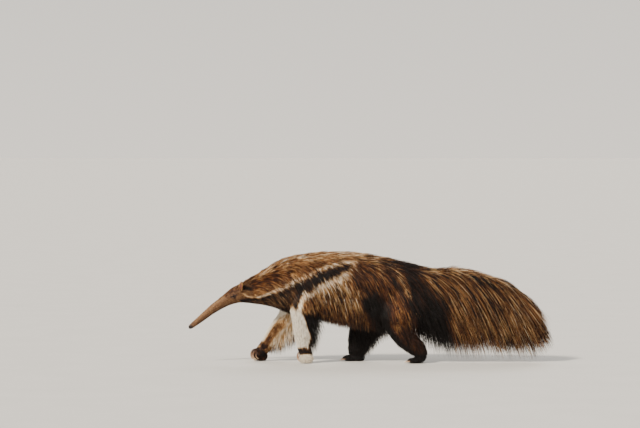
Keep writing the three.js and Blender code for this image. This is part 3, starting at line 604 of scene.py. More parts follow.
# Skin under the coat: the same hair colours, bare leather where the bare attribute says so, and a
# bump of short lying hairs and fine folds
def makeSkinMaterial():
    material, tree, shader = newMaterial("skin", {"Specular IOR Level": 0.4})
    hair = addHair(tree, (-450, 200))
    bare = addReader(tree, (-700, -50), "bare")
    coords = addNode(tree, "TexCoord", (-1100, -300))
    turned = {"Rotation": (0, math.radians(36), 0), "Scale": (260, 900, 900)}
    turn = addNode(tree, "Mapping", (-900, -300), turned)
    hairs = addNode(tree, "TexNoise", (-700, -250), {"Scale": 1.0, "Detail": 3.0})
    folds = addNode(tree, "TexVoronoi", (-700, -480), {"Scale": 420.0}, feature="DISTANCE_TO_EDGE")
    leather = addRamp(tree, (-450, -100), [(0.0, "#100b09"), (0.5, "#231815"), (1.0, "#3b2a24")])
    colour = addMix(tree, (-200, 100))
    height = addNode(tree, "Mix", (-450, -400))
    bump = addNode(tree, "Bump", (-200, -300), {"Strength": 0.5, "Distance": 0.0012})
    rough = addRange(tree, (-200, -80), 0.66, 0.5)
    connect(
        tree, (coords, "Object", turn, "Vector"), (turn, "Vector", hairs, "Vector"),
        (coords, "Object", folds, "Vector"), (hairs, "Fac", leather, "Fac"),
        (bare, "Fac", colour, "Factor"), (hair, "Color", colour, 6), (leather, "Color", colour, 7),
        (colour, 2, shader, "Base Color"), (bare, "Fac", height, "Factor"), (hairs, "Fac", height, 2),
        (folds, "Distance", height, 3), (height, 0, bump, "Height"), (bump, "Normal", shader, "Normal"),
        (bare, "Fac", rough, "Value"), (rough, "Result", shader, "Roughness"))
    return material


# Noise that roughens a surface: a bump and a roughness between two values
def addGrain(tree, shader, noise, strength, depth, low, high):
    bump = addNode(tree, "Bump", (-300, -250), {"Strength": strength, "Distance": depth})
    rough = addRange(tree, (-300, -60), low, high)
    connect(
        tree, (noise, "Fac", bump, "Height"), (bump, "Normal", shader, "Normal"),
        (noise, "Fac", rough, "Value"), (rough, "Result", shader, "Roughness"))


# Colour from a ramp read by an attribute, with a little noise added to it
def addBands(tree, shader, noise, attribute, amount, stops):
    reader = addReader(tree, (-700, 100), attribute)
    mixed = addMath(tree, (-500, 50), "MULTIPLY_ADD", {1: amount})
    colours = addRamp(tree, (-300, 100), stops)
    connect(
        tree, (noise, "Fac", mixed, 0), (reader, "Fac", mixed, 2), (mixed, 0, colours, "Fac"),
        (colours, "Color", shader, "Base Color"))


# Horn of the claws: from dark at the root to pale at the tip, with growth lines across it
def makeHornMaterial():
    material, tree, shader = newMaterial("horn", {})
    noise = addNoise(tree, (-700, -200), 220.0, 4.0)
    stops = [(0.1, "#2b1c15"), (0.45, "#7c5a43"), (0.85, "#b89576"), (1.2 / 1.3, "#d9bf9f")]
    addBands(tree, shader, noise, "along", 0.3, stops)
    addGrain(tree, shader, noise, 0.35, 0.0006, 0.28, 0.5)
    return material


# Eye: a black pupil in a dark brown iris under a wet clear coat; gaze is 1 at the middle of the cornea
def makeEyeMaterial():
    material, tree, shader = newMaterial("eyeball", {
        "Roughness": 0.12, "Specular IOR Level": 0.15, "Coat Weight": 0.2, "Coat Roughness": 0.04})
    noise = addNoise(tree, (-700, -200), 900.0, 3.0)
    stops = [(0.5, "#1a1210"), (0.72, "#241208"), (0.9, "#2f1a0c"), (0.95, "#070504")]
    addBands(tree, shader, noise, "gaze", 0.05, stops)
    return material


# Ear: red-brown and nearly bare inside, dark short hair outside, a pale rim
def makeEarMaterial():
    material, tree, shader = newMaterial("earSkin", {"Subsurface Weight": 0.12, "Subsurface Scale": 0.004})
    inner = addReader(tree, (-800, 200), "inner")
    rim = addReader(tree, (-800, 0), "rim")
    noise = addNoise(tree, (-800, -200), 380.0, 4.0)
    inside = addRamp(tree, (-550, -50), [(0.3, "#43201a"), (0.7, "#7c4634")])
    outside = addRamp(tree, (-550, -300), [(0.3, "#1b120d"), (0.7, "#46301f")])
    sidesMix = addMix(tree, (-300, 100))
    edge = addMix(tree, (-120, 100), {7: fromHex("#b98a52")})
    connect(
        tree, (noise, "Fac", inside, "Fac"), (noise, "Fac", outside, "Fac"),
        (inner, "Fac", sidesMix, "Factor"), (outside, "Color", sidesMix, 6), (inside, "Color", sidesMix, 7),
        (rim, "Fac", edge, "Factor"), (sidesMix, 2, edge, 6), (edge, 2, shader, "Base Color"))
    addGrain(tree, shader, noise, 0.5, 0.0008, 0.55, 0.75)
    return material


materials = {
    "coat": makeHairMaterial("coatHair"),
    "face": makeHairMaterial("faceHair"),
    "skin": makeSkinMaterial(),
    "horn": makeHornMaterial(),
    "eye": makeEyeMaterial(),
    "ear": makeEarMaterial(),
}


def finishPiece(piece, material, replaced=()):
    piece.data.materials.append(materials[material])
    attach(piece, "root")
    if replaced:
        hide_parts(*replaced)
    return piece


print("stage: materials")

# The skin

snoutTip = (-993, 0, 186)
skin = {
    "depth": 6 * mm, "legDepth": 4 * mm, "pawDepth": 2.5 * mm, "headDepth": 1.5 * mm, "neckDepth": 6.5 * mm,
    "voxel": 6 * mm, "smoothing": 6, "ringSpacing": 1.4 * mm, "headColumns": 112, "headEnd": 7.2,
    "faceEnd": 5.5, "bodyRings": (12 * mm, 48), "legRings": (8 * mm, 32), "floorGap": 0.5 * mm,
    # shade and along darken the skin's colour: painted shade under the coat
    "bodySpan": (6.0, 22), "pawTop": 34 * mm, "pawReach": 90 * mm, "shade": 0.9, "along": 0.4,
    "bareTip": (16 * mm, 32 * mm), "bareSole": (3 * mm, 9 * mm), "bareLid": (10 * mm, 12 * mm),
}
eye = {
    "place": (-744, 35, 363), "radius": 8.6 * mm, "lidRadius": 9.9 * mm, "openAcross": 8.4 * mm,
    "openUp": 5.2 * mm, "tilt": math.radians(27), "forward": 0.22, "upward": 0.12, "sunk": 2 * mm,
    "lidTube": 1.7 * mm, "edge": 1.04, "slant": 0.12, "upperLid": 0.35, "bulge": 0.05, "cornea": (0.7, 0.95),
    # hollow, brow and fold below: how far out and up from the eye, height and width, in millimetres
    "moves": [(5, 0, -2.2, 17), (4, 13, 2.6, 8), (4, -12, 1.2, 6)],
}
mouth = {
    "below": 9 * mm, "reach": (27.2 * mm, 40.8 * mm), "depth": 1.5 * mm, "width": 1.1 * mm,
    "lip": 0.8 * mm, "lipAt": 3 * mm, "lipWidth": 2 * mm,
}
nostril = {
    "place": (-990, 6.5, 199), "depth": 4 * mm, "width": 2.94 * mm, "rim": 0.9 * mm, "rimAt": 5.46 * mm,
    "rimWidth": 1.4 * mm,
}
foreTip = 350  # the slope that the tips of the front claws turn to
foreClaws = [  # across the knuckles, ahead of them, height, slope, radius, length
    (-28, 10, 40, 235, 3.6, 36), (-18, 20, 54, 215, 6.0, 62), (-3, 26, 60, 208, 7.5, 78),
    (16, 24, 42, 205, 4.6, 46),
]
hindClaws = {
    "count": 5, "spacing": 13.5, "inset": 6, "high": 13, "radius": 3.8, "length": 32, "slope": 172,
    "tip": 218,
}


toe = {"share": 1.25, "flesh": 1.5, "long": 1.5, "back": {"fore": 9, "hind": 8}}


# Roots of the claws of one paw, in millimetres: place, slope at the root and at the tip, radius, length
def clawRoots(name):
    side = legSides[name]
    x, y, _, long, wide, _ = paws[name][1]
    if kindOf(name) == "fore":
        return [((x - ahead, side * (y + across), up), slope, foreTip, radius, length)
                for across, ahead, up, slope, radius, length in foreClaws]
    roots = []
    for digit in range(hindClaws["count"]):
        across = (digit - (hindClaws["count"] - 1) / 2) * hindClaws["spacing"]
        reach = long * math.sqrt(1 - (across / wide) ** 2) - hindClaws["inset"]
        roots.append(((x - reach, side * (y + across), hindClaws["high"]), hindClaws["slope"],
                      hindClaws["tip"], hindClaws["radius"], hindClaws["length"]))
    return roots


# The body without the head: lofts, paws and toes, made one closed surface and smoothed
def bodySkin():
    start, end = skin["bodySpan"]
    parts = [closedGrid(loftPart(spine, start, end, *skin["bodyRings"], -skin["depth"]))]
    for name, limb in legs.items():
        side = legSides[name]
        grow = ((0, 2, limb["last"]), (-skin["depth"], -skin["legDepth"], -skin["pawDepth"]))
        parts.append(closedGrid(loftPart(limb, 0, limb["last"], *skin["legRings"], grow)))
        for x, y, z, long, wide, high in paws[name]:
            radii = [r * mm - skin["pawDepth"] for r in (long, wide, high)]
            parts.append(closedGrid(ballPart(placed(x, side * y, z), radii)))
        for (x, y, z), _, _, radius, _ in clawRoots(name):
            size = (radius * toe["share"] + toe["flesh"]) * mm
            radii = (size * toe["long"], size, size)
            parts.append(closedGrid(ballPart(placed(x + toe["back"][kindOf(name)], y, z), radii)))
    points, faces = joinParts(parts)
    rough = addPiece("bodyDraft", points, faces)
    remesh = rough.modifiers.new("one", "REMESH")
    remesh.mode = "VOXEL"
    remesh.voxel_size = skin["voxel"]
    smooth = rough.modifiers.new("soft", "SMOOTH")
    smooth.iterations = skin["smoothing"]
    made = rough.evaluated_get(bpy.context.evaluated_depsgraph_get()).to_mesh()
    made.calc_loop_triangles()
    points = np.empty(len(made.vertices) * 3)
    made.vertices.foreach_get("co", points)
    faces = np.empty(len(made.loop_triangles) * 3, np.int32)
    made.loop_triangles.foreach_get("vertices", faces)
    bpy.data.objects.remove(rough)
    points = points.reshape(-1, 3)
    points[:, 2] = np.maximum(points[:, 2], skin["floorGap"])
    return points, faces.reshape(-1, 3)


# The eye's own directions: out of the head, along the slit and up
def eyeFrame(side):
    out = unit(np.array([-eye["forward"], side, eye["upward"]]))
    along = np.array([math.cos(eye["tilt"]), 0, math.sin(eye["tilt"])])
    along = unit(along - out * (along @ out))
    up = np.cross(along, out) * side
    up = up if up[2] > 0 else -up
    x, y, z = eye["place"]
    return placed(x, side * y, z), out, along, up


def bell(distance, width):
    return np.exp(-((distance / width) ** 2))


# The head: the loft of its stations with hollows for the eyes and nostrils, a groove for the mouth
# with lips beside it, and brows; each is a bell-shaped move along the surface's outward direction
def headSkin():
    depths = (-skin["headDepth"], -skin["headDepth"], -skin["neckDepth"])
    grow = ((0, skin["faceEnd"], skin["headEnd"]), depths)
    grid = loftPart(spine, 0, skin["headEnd"], skin["ringSpacing"], skin["headColumns"], grow)
    points = grid.reshape(-1, 3)
    b = besideLimb(spine, points)
    out = b["normal"] * b["rise"][:, None]
    out[:, 1] += b["out"]
    near = 1 - ramp(np.linalg.norm(points - placed(*snoutTip), axis=1), *mouth["reach"])
    lower = b["rise"] + mouth["below"]
    move = -mouth["depth"] * bell(lower, mouth["width"]) * near
    for at in (-mouth["lipAt"], mouth["lipAt"]):
        move += mouth["lip"] * bell(lower + at, mouth["lipWidth"]) * near
    for side in sides.values():
        x, y, z = nostril["place"]
        away = np.linalg.norm(points - placed(x, side * y, z), axis=1)
        move -= nostril["depth"] * bell(away, nostril["width"])
        move += nostril["rim"] * bell(away - nostril["rimAt"], nostril["rimWidth"])
        centre, facing, _, up = eyeFrame(side)
        for ahead, above, height, width in eye["moves"]:
            away = np.linalg.norm(points - centre - (facing * ahead + up * above) * mm, axis=1)
            move += height * mm * bell(away, width * mm)
    return closedGrid(openEyes(points + unit(out) * move[:, None]).reshape(grid.shape))


# Inside the slit the skin lies behind the front of the eye, and about it over the eye as its lids
def openEyes(points):
    for side in sides.values():
        centre, facing, along, up = eyeFrame(side)
        away = points - centre
        u, v, d = away @ along, away @ up, away @ facing
        inside = ((u / eye["openAcross"]) ** 2 + (v / eye["openUp"]) ** 2 < 1) & (d > 0)
        sunk = centre + along * u[:, None] + up * v[:, None] + facing * eye["sunk"]
        covered = ~inside & (np.linalg.norm(away, axis=1) < eye["lidRadius"]) & (d > -eye["sunk"])
        lid = centre + unit(away) * eye["lidRadius"]
        points = np.where(inside[:, None], sunk, np.where(covered[:, None], lid, points))
    return points


# The edges of the lids: a tube about the opening on a ball just over the eye, thicker above
def lidPart(side, columns=12, rows=72):
    centre, facing, along, up = eyeFrame(side)
    a = np.linspace(0, 2 * np.pi, rows, endpoint=False)
    u = eye["openAcross"] * eye["edge"] * np.cos(a)
    v = eye["openUp"] * eye["edge"] * np.sin(a) * (1 - eye["slant"] * np.cos(a))
    d = np.sqrt(np.maximum(eye["lidRadius"] ** 2 - u**2 - v**2, 0))
    line = centre + np.outer(u, along) + np.outer(v, up) + np.outer(d, facing)
    tangent = unit(np.roll(line, -1, 0) - np.roll(line, 1, 0))
    outwards = unit(line - centre)
    across = unit(np.cross(tangent, outwards))
    k = np.linspace(0, 2 * np.pi, columns, endpoint=False)
    size = eye["lidTube"] * (1 + eye["upperLid"] * np.maximum(np.sin(a), 0))
    ring = across[:, None] * np.cos(k)[None, :, None] + outwards[:, None] * np.sin(k)[None, :, None]
    flat, faces = closedGrid(line[:, None] + ring * size[:, None, None], wrapRows=True)
    inward = np.cross(across[0], outwards[0]) @ tangent[0] < 0
    return flat, faces[:, ::-1] if inward else faces


bodyPoints, bodyFaces = bodySkin()
headPart = headSkin()
skinPoints, skinFaces = joinParts([(bodyPoints, bodyFaces), headPart, lidPart(-1), lidPart(1)])


# The skin's marks: each vertex takes those of the limb that holds it deepest, and low down its paw's
def skinMarks(points):
    values = trunkTone(points)
    least = depthIn(spine, points)["depth"]
    for name, limb in legs.items():
        depth = depthIn(limb, points)
        chosen = (depth["depth"] < least) & ~depth["beyond"]
        least = np.where(chosen, depth["depth"], least)
        values[chosen] = toneOf[name](limb, points[chosen])
    low = points[:, 2] < skin["pawTop"]
    for name, limb in legs.items():
        x, y = placed(paws[name][1][0], legSides[name] * paws[name][1][1], 0)[:2]
        mine = low & (np.hypot(points[:, 0] - x, points[:, 1] - y) < skin["pawReach"])
        values[mine] = pawTones[name]
    return values


# Where the skin is bare: the tip of the snout, the soles and the lids
def bareSkin(points):
    bare = 1 - ramp(np.linalg.norm(points - placed(*snoutTip), axis=1), *skin["bareTip"])
    bare = np.maximum(bare, 1 - ramp(points[:, 2], *skin["bareSole"]))
    for side in sides.values():
        away = np.linalg.norm(points - eyeFrame(side)[0], axis=1)
        bare = np.maximum(bare, 1 - ramp(away, *skin["bareLid"]))
    return bare


skinValues = skinMarks(skinPoints)
# the skin's tone is lowered by the shade factor and coloured as hair near its root: painted shade under the
# coat
skinPiece = addPiece("skin", skinPoints, skinFaces, {
    "tone": skinValues[:, 0] * skin["shade"], "warm": skinValues[:, 1],
    "along": np.full(len(skinPoints), skin["along"]), "bare": bareSkin(skinPoints),
})
fleshNodes = ["head", "neck", "torso", "tail", *legs]
finishPiece(skinPiece, "skin", fleshNodes)
print("stage: skin", len(skinFaces), "triangles")


# Eyes, ears and claws

# An eye: a ball about its outward axis with a slightly raised cornea
def makeEye(side, rings=40, columns=48):
    centre, facing, along, up = eyeFrame(side)
    if np.cross(facing, along) @ up < 0:
        along = -along
    s = np.linspace(0.01, 0.99, rings) * np.pi
    a = np.linspace(0, 2 * np.pi, columns, endpoint=False)
    axis = -np.cos(s)
    bulge = 1 + eye["bulge"] * ramp(axis, *eye["cornea"])
    ring = np.cos(a)[:, None] * along + np.sin(a)[:, None] * up
    points = axis[:, None, None] * facing + np.sin(s)[:, None, None] * ring[None]
    points = centre + points * (eye["radius"] * bulge)[:, None, None]
    flat, faces = closedGrid(points)
    return flat, faces, {"gaze": unit(flat - centre) @ facing}


for name, side in sides.items():
    finishPiece(addPiece(f"eyeball_{name}", *makeEye(side)), "eye", [f"eye_{name}"])

ear = {
    "place": (-703, 35, 396), "height": 44 * mm, "halfWidth": 18 * mm, "cup": 11 * mm, "peak": 0.45,
    "thickness": 2.4 * mm, "rows": 26, "columns": 22, "share": (-0.25, 0.992), "narrowing": 0.4,
    "thinning": 0.7, "thinTop": (0.8, 1.0), "innerSides": (0.75, 0.95), "innerTop": (0.82, 0.97),
    "rimSides": (0.84, 0.98), "rimFoot": (0.1, 0.4), "rimTop": (0.86, 0.96),
    "up": (0.12, 0.42, 1), "face": (-0.86, 0.5, 0),
}


# The ear's own directions: up its height, out of its hollow, and across
def earFrame(side):
    mirror = np.array([1, side, 1])
    up = unit(ear["up"] * mirror)
    face = unit(ear["face"] * mirror)
    return up, face, unit(np.cross(up, face))


# A place on the ear: up its height by the share, across by v times the half width there, which is
# widest at its middle and round at the top, and bent forwards by v squared
def earPlace(side, share, v, offset):
    up, face, across = earFrame(side)
    peak = ear["peak"]
    above = np.sqrt(np.maximum(0, 1 - (np.maximum(share - peak, 0) / (1 - peak)) ** 2))
    below = 1 - ear["narrowing"] * (np.maximum(peak - share, 0) / peak) ** 2
    half = ear["halfWidth"] * np.where(share > peak, above, below)
    bend = ear["cup"] * v**2 * (1 - ear["narrowing"] * share) + offset
    x, y, z = ear["place"]
    return (placed(x, side * y, z) + up * (ear["height"] * share)[..., None]
            + across * (half * v)[..., None] + face * bend[..., None])


def makeEar(side):
    share = np.linspace(*ear["share"], ear["rows"])[:, None]
    v = np.linspace(-1, 1, ear["columns"])
    v = np.concatenate([v, v[::-1]])[None, :]
    front = np.repeat([1.0, -1.0], ear["columns"])[None, :]
    thin = (1 - ear["thinning"] * np.abs(v) ** 6) * (1 - ear["thinning"] * ramp(share, *ear["thinTop"]))
    points = earPlace(side, share + 0 * v, v + 0 * share, front * thin * ear["thickness"] / 2)
    flat, faces = closedGrid(points)
    inner = (front * np.ones_like(share) > 0) * (1 - ramp(np.abs(v), *ear["innerSides"]))
    inner = inner * (1 - ramp(share, *ear["innerTop"]))
    rim = ramp(np.abs(v), *ear["rimSides"]) * ramp(share, *ear["rimFoot"])
    rim = np.maximum(rim, ramp(share, *ear["rimTop"]))
    a, b, c = (flat[faces[:, k]] for k in range(3))
    outward = (a * np.cross(b, c)).sum() > 0
    marks = {"inner": np.append(inner, [0, 0]), "rim": np.append(rim, [0, 0])}
    return flat, faces if outward else faces[:, ::-1], marks


for name, side in sides.items():
    finishPiece(addPiece(f"pinna_{name}", *makeEar(side)), "ear", [f"ear_{name}"])

claw = {
    "sunk": 4 * mm, "power": 0.7, "blunt": 0.25, "keel": 0.18, "floorGap": 0.6 * mm,
    "flatten": {"fore": 0.7, "hind": 0.8},
}


# A claw: a horn along an arc in the upright plane, rounder above than below, that narrows by a power
# of what is left of its length
def makeClaw(root, slope, tipSlope, radius, length, flatten, rings=26, columns=14):
    share = np.linspace(0, 1, rings)
    turn = np.radians(slope + (tipSlope - slope) * share)
    heading = np.stack([np.cos(turn), 0 * turn, np.sin(turn)], 1)
    step = length * mm / (rings - 1)
    steps = np.concatenate([[[0, 0, 0]], np.cumsum(heading[1:] * step, 0)])
    centre = placed(*root) + steps - heading[0] * claw["sunk"]
    normal = np.stack([-np.sin(turn), 0 * turn, np.cos(turn)], 1)
    size = (radius * (1 - share) ** claw["power"] + claw["blunt"]) * mm
    a = np.linspace(0, 2 * np.pi, columns, endpoint=False)
    keel = 1 - claw["keel"] * np.maximum(np.cos(a - np.pi / 2), 0) ** 2
    points = centre[:, None] + normal[:, None] * (size[:, None] * np.sin(a) * keel)[..., None]
    points[..., 1] += size[:, None] * flatten * np.cos(a)
    points[..., 2] = np.maximum(points[..., 2], claw["floorGap"])
    return *closedGrid(points), {"along": np.append(np.repeat(share, columns), [0, 1])}


for name in legs:
    flatten = claw["flatten"][kindOf(name)]
    for digit, shape in enumerate(clawRoots(name), 1):
        piece = addPiece(f"horn_{name}_{digit}", *makeClaw(*shape, flatten))
        finishPiece(piece, "horn", [f"claw_{name}_{digit}"])
print("stage: eyes, ears, claws")

# The coat

tuft = {
    "root": 4 * mm,  # how deep a root sits under the core's surface
    "profile": {4: (0.55, 1.0, 0.9, 0.6), 3: (0.6, 1.0, 0.7), 2: (0.7, 0.9)},
    "corners": ((-0.5, -0.12), (0.5, -0.12), (0.0, 0.34)),
    "twist": 0.7, "yaw": 0.07, "clumpYaw": 0.16, "floorGap": 4 * mm, "patch": 0.003,
    "follow": 0.6, "clump": 11 * mm, "piece": 190000, "streak": 0.45, "contrast": 1.5, "reach": 0.10,
    "sideLimit": (131 * mm, 153 * mm),  # where the coat begins to bend in at the sides, and its furthest
    "lift": (0.25, 0.75, 0.5),  # least share, more by clump, more by tuft
    "length": (0.78, 0.34),  # least share, more by tuft
    "lies": (0.10, 0.12), "hangs": (0.07, 0.10),  # turned by tuft, by clump
    "rising": 1.5, "passFrom": -0.8, "overLeg": 5 * mm, "unwrap": (0.02, 0.95),
}
noiseTable = random.random((24, 24, 24))
noiseContrast = 1.7


# Smooth noise from 0 to 1: random numbers on a grid of cells, blended between its corners
def patchNoise(points, cell):
    at = points / cell + 100
    base = np.floor(at).astype(int)
    f = at - base
    f = f * f * (3 - 2 * f)
    total = np.zeros(len(points))
    for corner in np.ndindex(2, 2, 2):
        weight = np.prod(np.where(corner, f, 1 - f), axis=1)
        i = (base + corner) % len(noiseTable)
        total += weight * noiseTable[i[:, 0], i[:, 1], i[:, 2]]
    return np.clip(0.5 + noiseContrast * (total - 0.5), 0, 1)


# The lie of the coat along a limb. Columns: position, spacing of the tufts, width, lift at the tip,
# then length and the slope below level at root and tip: on top (or behind), at the side, and
# underneath (or in front)
coatFields = {
    "spine": [
        (0.5, 2.4, 1.1, 0.6, 4, -42, -42, 4, -42, -42, 4, -42, -42),
        (3.0, 2.6, 1.3, 0.9, 6, -37, -35, 6, -35, -33, 6, -34, -32),
        (5.0, 2.8, 1.5, 1.5, 9, -30, -26, 9, -25, -20, 9, -18, -12),
        (6.0, 3.2, 1.8, 2.5, 16, -26, -20, 14, -16, -8, 14, 0, 8),
        (6.8, 3.8, 1.8, 4, 38, -26, -14, 24, -8, 2, 24, 14, 24),
        (7.8, 4.2, 2.0, 6, 80, -22, -8, 40, 6, 20, 34, 36, 48),
        (8.8, 4.4, 2.2, 8, 105, -13, 0, 58, 24, 42, 44, 52, 62),
        (9.8, 4.6, 2.3, 10, 125, -7, 8, 78, 46, 68, 48, 66, 76),
        (11.0, 4.8, 2.4, 10, 135, -5, 10, 100, 58, 76, 62, 72, 84),
        (12.0, 4.9, 2.4, 10, 140, -3, 12, 115, 58, 76, 95, 72, 86),
        (13.2, 5.0, 2.4, 10, 145, 0, 14, 115, 57, 73, 108, 70, 86),
        (14.2, 5.0, 2.4, 10, 145, 2, 15, 112, 53, 70, 112, 68, 84),
        (15.2, 5.0, 2.4, 10, 145, 3, 16, 200, 57, 76, 205, 67, 83),
        (16.0, 4.9, 2.2, 10, 155, 2, 22, 250, 56, 74, 258, 65, 80),
        (17.0, 4.9, 2.2, 12, 170, 8, 34, 272, 56, 71, 276, 62, 77),
        (18.5, 4.9, 2.2, 12, 178, 16, 44, 258, 56, 69, 262, 60, 74),
        (20.0, 4.9, 2.2, 12, 175, 24, 50, 236, 54, 66, 240, 59, 71),
        (21.0, 4.8, 2.2, 11, 165, 30, 54, 198, 51, 62, 198, 58, 67),
        (22.0, 4.6, 2.2, 10, 168, 38, 57, 174, 51, 62, 172, 56, 64),
    ],
    "foreleg_left": [
        (0.0, 5.0, 2.8, 8, 90, 50, 70, 80, 70, 82, 60, 84, 88),
        (1.0, 4.6, 2.4, 7, 132, 42, 76, 60, 76, 86, 36, 90, 90),
        (1.7, 4.3, 2.1, 5, 150, 36, 78, 40, 80, 88, 24, 90, 90),
        (3.0, 4.2, 2.0, 4, 108, 46, 84, 24, 84, 88, 18, 88, 90),
        (4.2, 3.8, 2.0, 3, 60, 56, 86, 18, 84, 86, 15, 86, 88),
        (4.8, 3.4, 1.8, 2, 22, 70, 86, 13, 84, 86, 12, 86, 88),
        (6.0, 3.0, 1.6, 1.5, 9, 88, 90, 9, 90, 90, 9, 90, 90),
    ],
    "foreleg_right": [
        (0.0, 5.0, 2.8, 8, 90, 72, 92, 70, 90, 95, 50, 100, 104),
        (1.2, 4.4, 2.5, 6, 175, 72, 96, 56, 96, 100, 30, 116, 116),
        (2.2, 4.2, 2.3, 4, 148, 74, 94, 30, 112, 108, 20, 122, 122),
        (3.6, 4.0, 2.1, 3, 84, 76, 92, 20, 118, 112, 16, 124, 122),
        (4.4, 3.6, 1.9, 2, 30, 90, 100, 14, 120, 116, 12, 122, 120),
        (6.0, 3.0, 1.6, 1.5, 9, 112, 112, 9, 112, 112, 9, 112, 112),
    ],
    "hindleg_left": [
        (0.0, 5.2, 3.0, 9, 110, 56, 76, 110, 66, 84, 70, 90, 92),
        (1.0, 4.9, 2.4, 8, 105, 56, 76, 80, 56, 72, 60, 88, 88),
        (2.0, 4.5, 2.3, 7, 104, 54, 74, 78, 50, 66, 52, 68, 74),
        (3.6, 4.2, 2.2, 5, 84, 50, 67, 66, 54, 64, 34, 56, 62),
        (4.5, 3.6, 2.0, 3, 28, 62, 76, 22, 62, 74, 14, 70, 76),
        (6.0, 3.1, 1.6, 1.5, 9, 98, 98, 9, 98, 98, 9, 98, 98),
    ],
    "hindleg_right": [
        (0.0, 5.2, 3.0, 9, 110, 56, 80, 110, 70, 86, 70, 90, 96),
        (1.0, 4.9, 2.8, 9, 115, 56, 82, 105, 66, 84, 60, 110, 106),
        (2.0, 4.5, 2.4, 8, 120, 56, 82, 100, 62, 84, 66, 108, 98),
        (3.5, 4.2, 2.2, 6, 96, 60, 82, 80, 68, 84, 48, 104, 94),
        (4.3, 3.8, 2.0, 4, 44, 76, 88, 36, 82, 90, 24, 98, 92),
        (5.0, 3.1, 1.6, 1.5, 9, 90, 90, 9, 90, 90, 9, 90, 90),
    ],
}


# How the values on top and underneath come in by the sine of the angle
coatRound = {"top": ((-0.14, 0.44, 0.83, 1.0), (0, 0.15, 0.42, 1.0)), "under": ((0.14, 1.0), (0, 1.0)),
             "topLift": 0.9}


# The field's values at places of a limb: along it by straight blending, and round it from side to top
# or underside
def fieldAt(field, t, rise):
    table = np.array(field, float)
    columns = [np.interp(t, table[:, 0], table[:, k]) for k in range(table.shape[1])]
    top = np.interp(rise, *coatRound["top"])
    under = np.interp(-rise, *coatRound["under"])
    mixed = []
    for above, beside, below in zip(columns[4:7], columns[7:10], columns[10:13]):
        mixed.append(beside + (above - beside) * top + (below - beside) * under)
    length, lies, hangs = mixed
    return {"width": columns[2] * mm, "lift": columns[3] * mm * (1 + coatRound["topLift"] * top),
            "length": length * mm, "lies": np.radians(lies), "hangs": np.radians(hangs)}


# Places for tufts on a limb's surface, as many to the area as the spacing asks
def scatter(limb, start, end, field):
    ts = np.linspace(start, end, 181)
    angles = np.linspace(-np.pi, np.pi, 97)
    tt, aa = np.meshgrid(ts, angles, indexing="ij")
    points = surfaceAt(limb, tt.ravel(), aa.ravel(), 0.0)[0].reshape(*tt.shape, 3)
    along, around = points[1:, :-1] - points[:-1, :-1], points[:-1, 1:] - points[:-1, :-1]
    area = np.linalg.norm(np.cross(along, around), axis=-1)
    spacing = np.interp(tt[:-1, :-1], [row[0] for row in field], [row[1] * mm for row in field])
    wanted = (area / spacing**2).ravel()
    count = int(wanted.sum())
    cell = random.choice(len(wanted), count, p=wanted / wanted.sum())
    row, column = np.divmod(cell, area.shape[1])
    t = ts[row] + random.random(count) * (ts[1] - ts[0])
    angle = angles[column] + random.random(count) * (angles[1] - angles[0])
    order = np.argsort(t)
    return t[order], angle[order]


# Lines of tufts: from its root each takes short steps whose slope turns from the lie to the hang, and
# after each step it is pushed clear of its limb, and of the legs that it hangs over
def growLines(limb, t, angle, values, rings, over=()):
    count = len(t)
    point, out = surfaceAt(limb, t, angle, -tuft["root"])
    clump = patchNoise(point, tuft["clump"])
    other = patchNoise(point + 3.7, tuft["clump"])
    yaw = tuft["clumpYaw"] * (clump - 0.5) + tuft["yaw"] * random.normal(size=count)
    least, byClump, byTuft = tuft["lift"]
    lift = values["lift"] * (least + byClump * other + byTuft * random.random(count))
    least, byTuft = tuft["length"]
    length = values["length"] * (least + byTuft * random.random(count))
    byTuft, byClump = tuft["lies"]
    lies = values["lies"] + byTuft * random.normal(size=count) + byClump * (other - 0.5)
    byTuft, byClump = tuft["hangs"]
    hangs = values["hangs"] + byTuft * random.normal(size=count) + byClump * (clump - 0.5)
    canPass = np.sin(angle) > tuft["passFrom"]
    near, far = tuft["sideLimit"]
    lines = np.empty((count, rings + 1, 3))
    lines[:, 0] = point
    steps = 2 * rings
    for step in range(1, steps + 1):
        share = step / steps
        slope = lies + (hangs - lies) * share
        level = np.cos(yaw)
        move = np.stack([np.cos(slope) * level, np.sin(yaw), -np.sin(slope) * level], 1)
        point = point + move * (length / steps)[:, None]
        rising = min(1.0, tuft["rising"] * share)
        point = pushOut(limb, point, -tuft["root"] + (lift + tuft["root"]) * rising)
        for leg in over:
            moved = pushAside(leg, point, tuft["overLeg"] + 0.5 * lift)
            point = np.where(canPass[:, None], moved, point)
        point[:, 2] = np.maximum(point[:, 2], tuft["floorGap"])
        sideways = point[:, 1] - shift[1]
        past = np.maximum(np.abs(sideways) - near, 0)
        point[:, 1] -= np.sign(sideways) * (past - (far - near) * np.tanh(past / (far - near)))
        if step % 2 == 0:
            lines[:, step // 2] = point
    return lines, out


# Values given by ring, repeated for the three corners of each ring, and once for the tip
def perVertex(values):
    return np.concatenate([np.repeat(values[:, :-1], 3, axis=1), values[:, -1:]], 1)


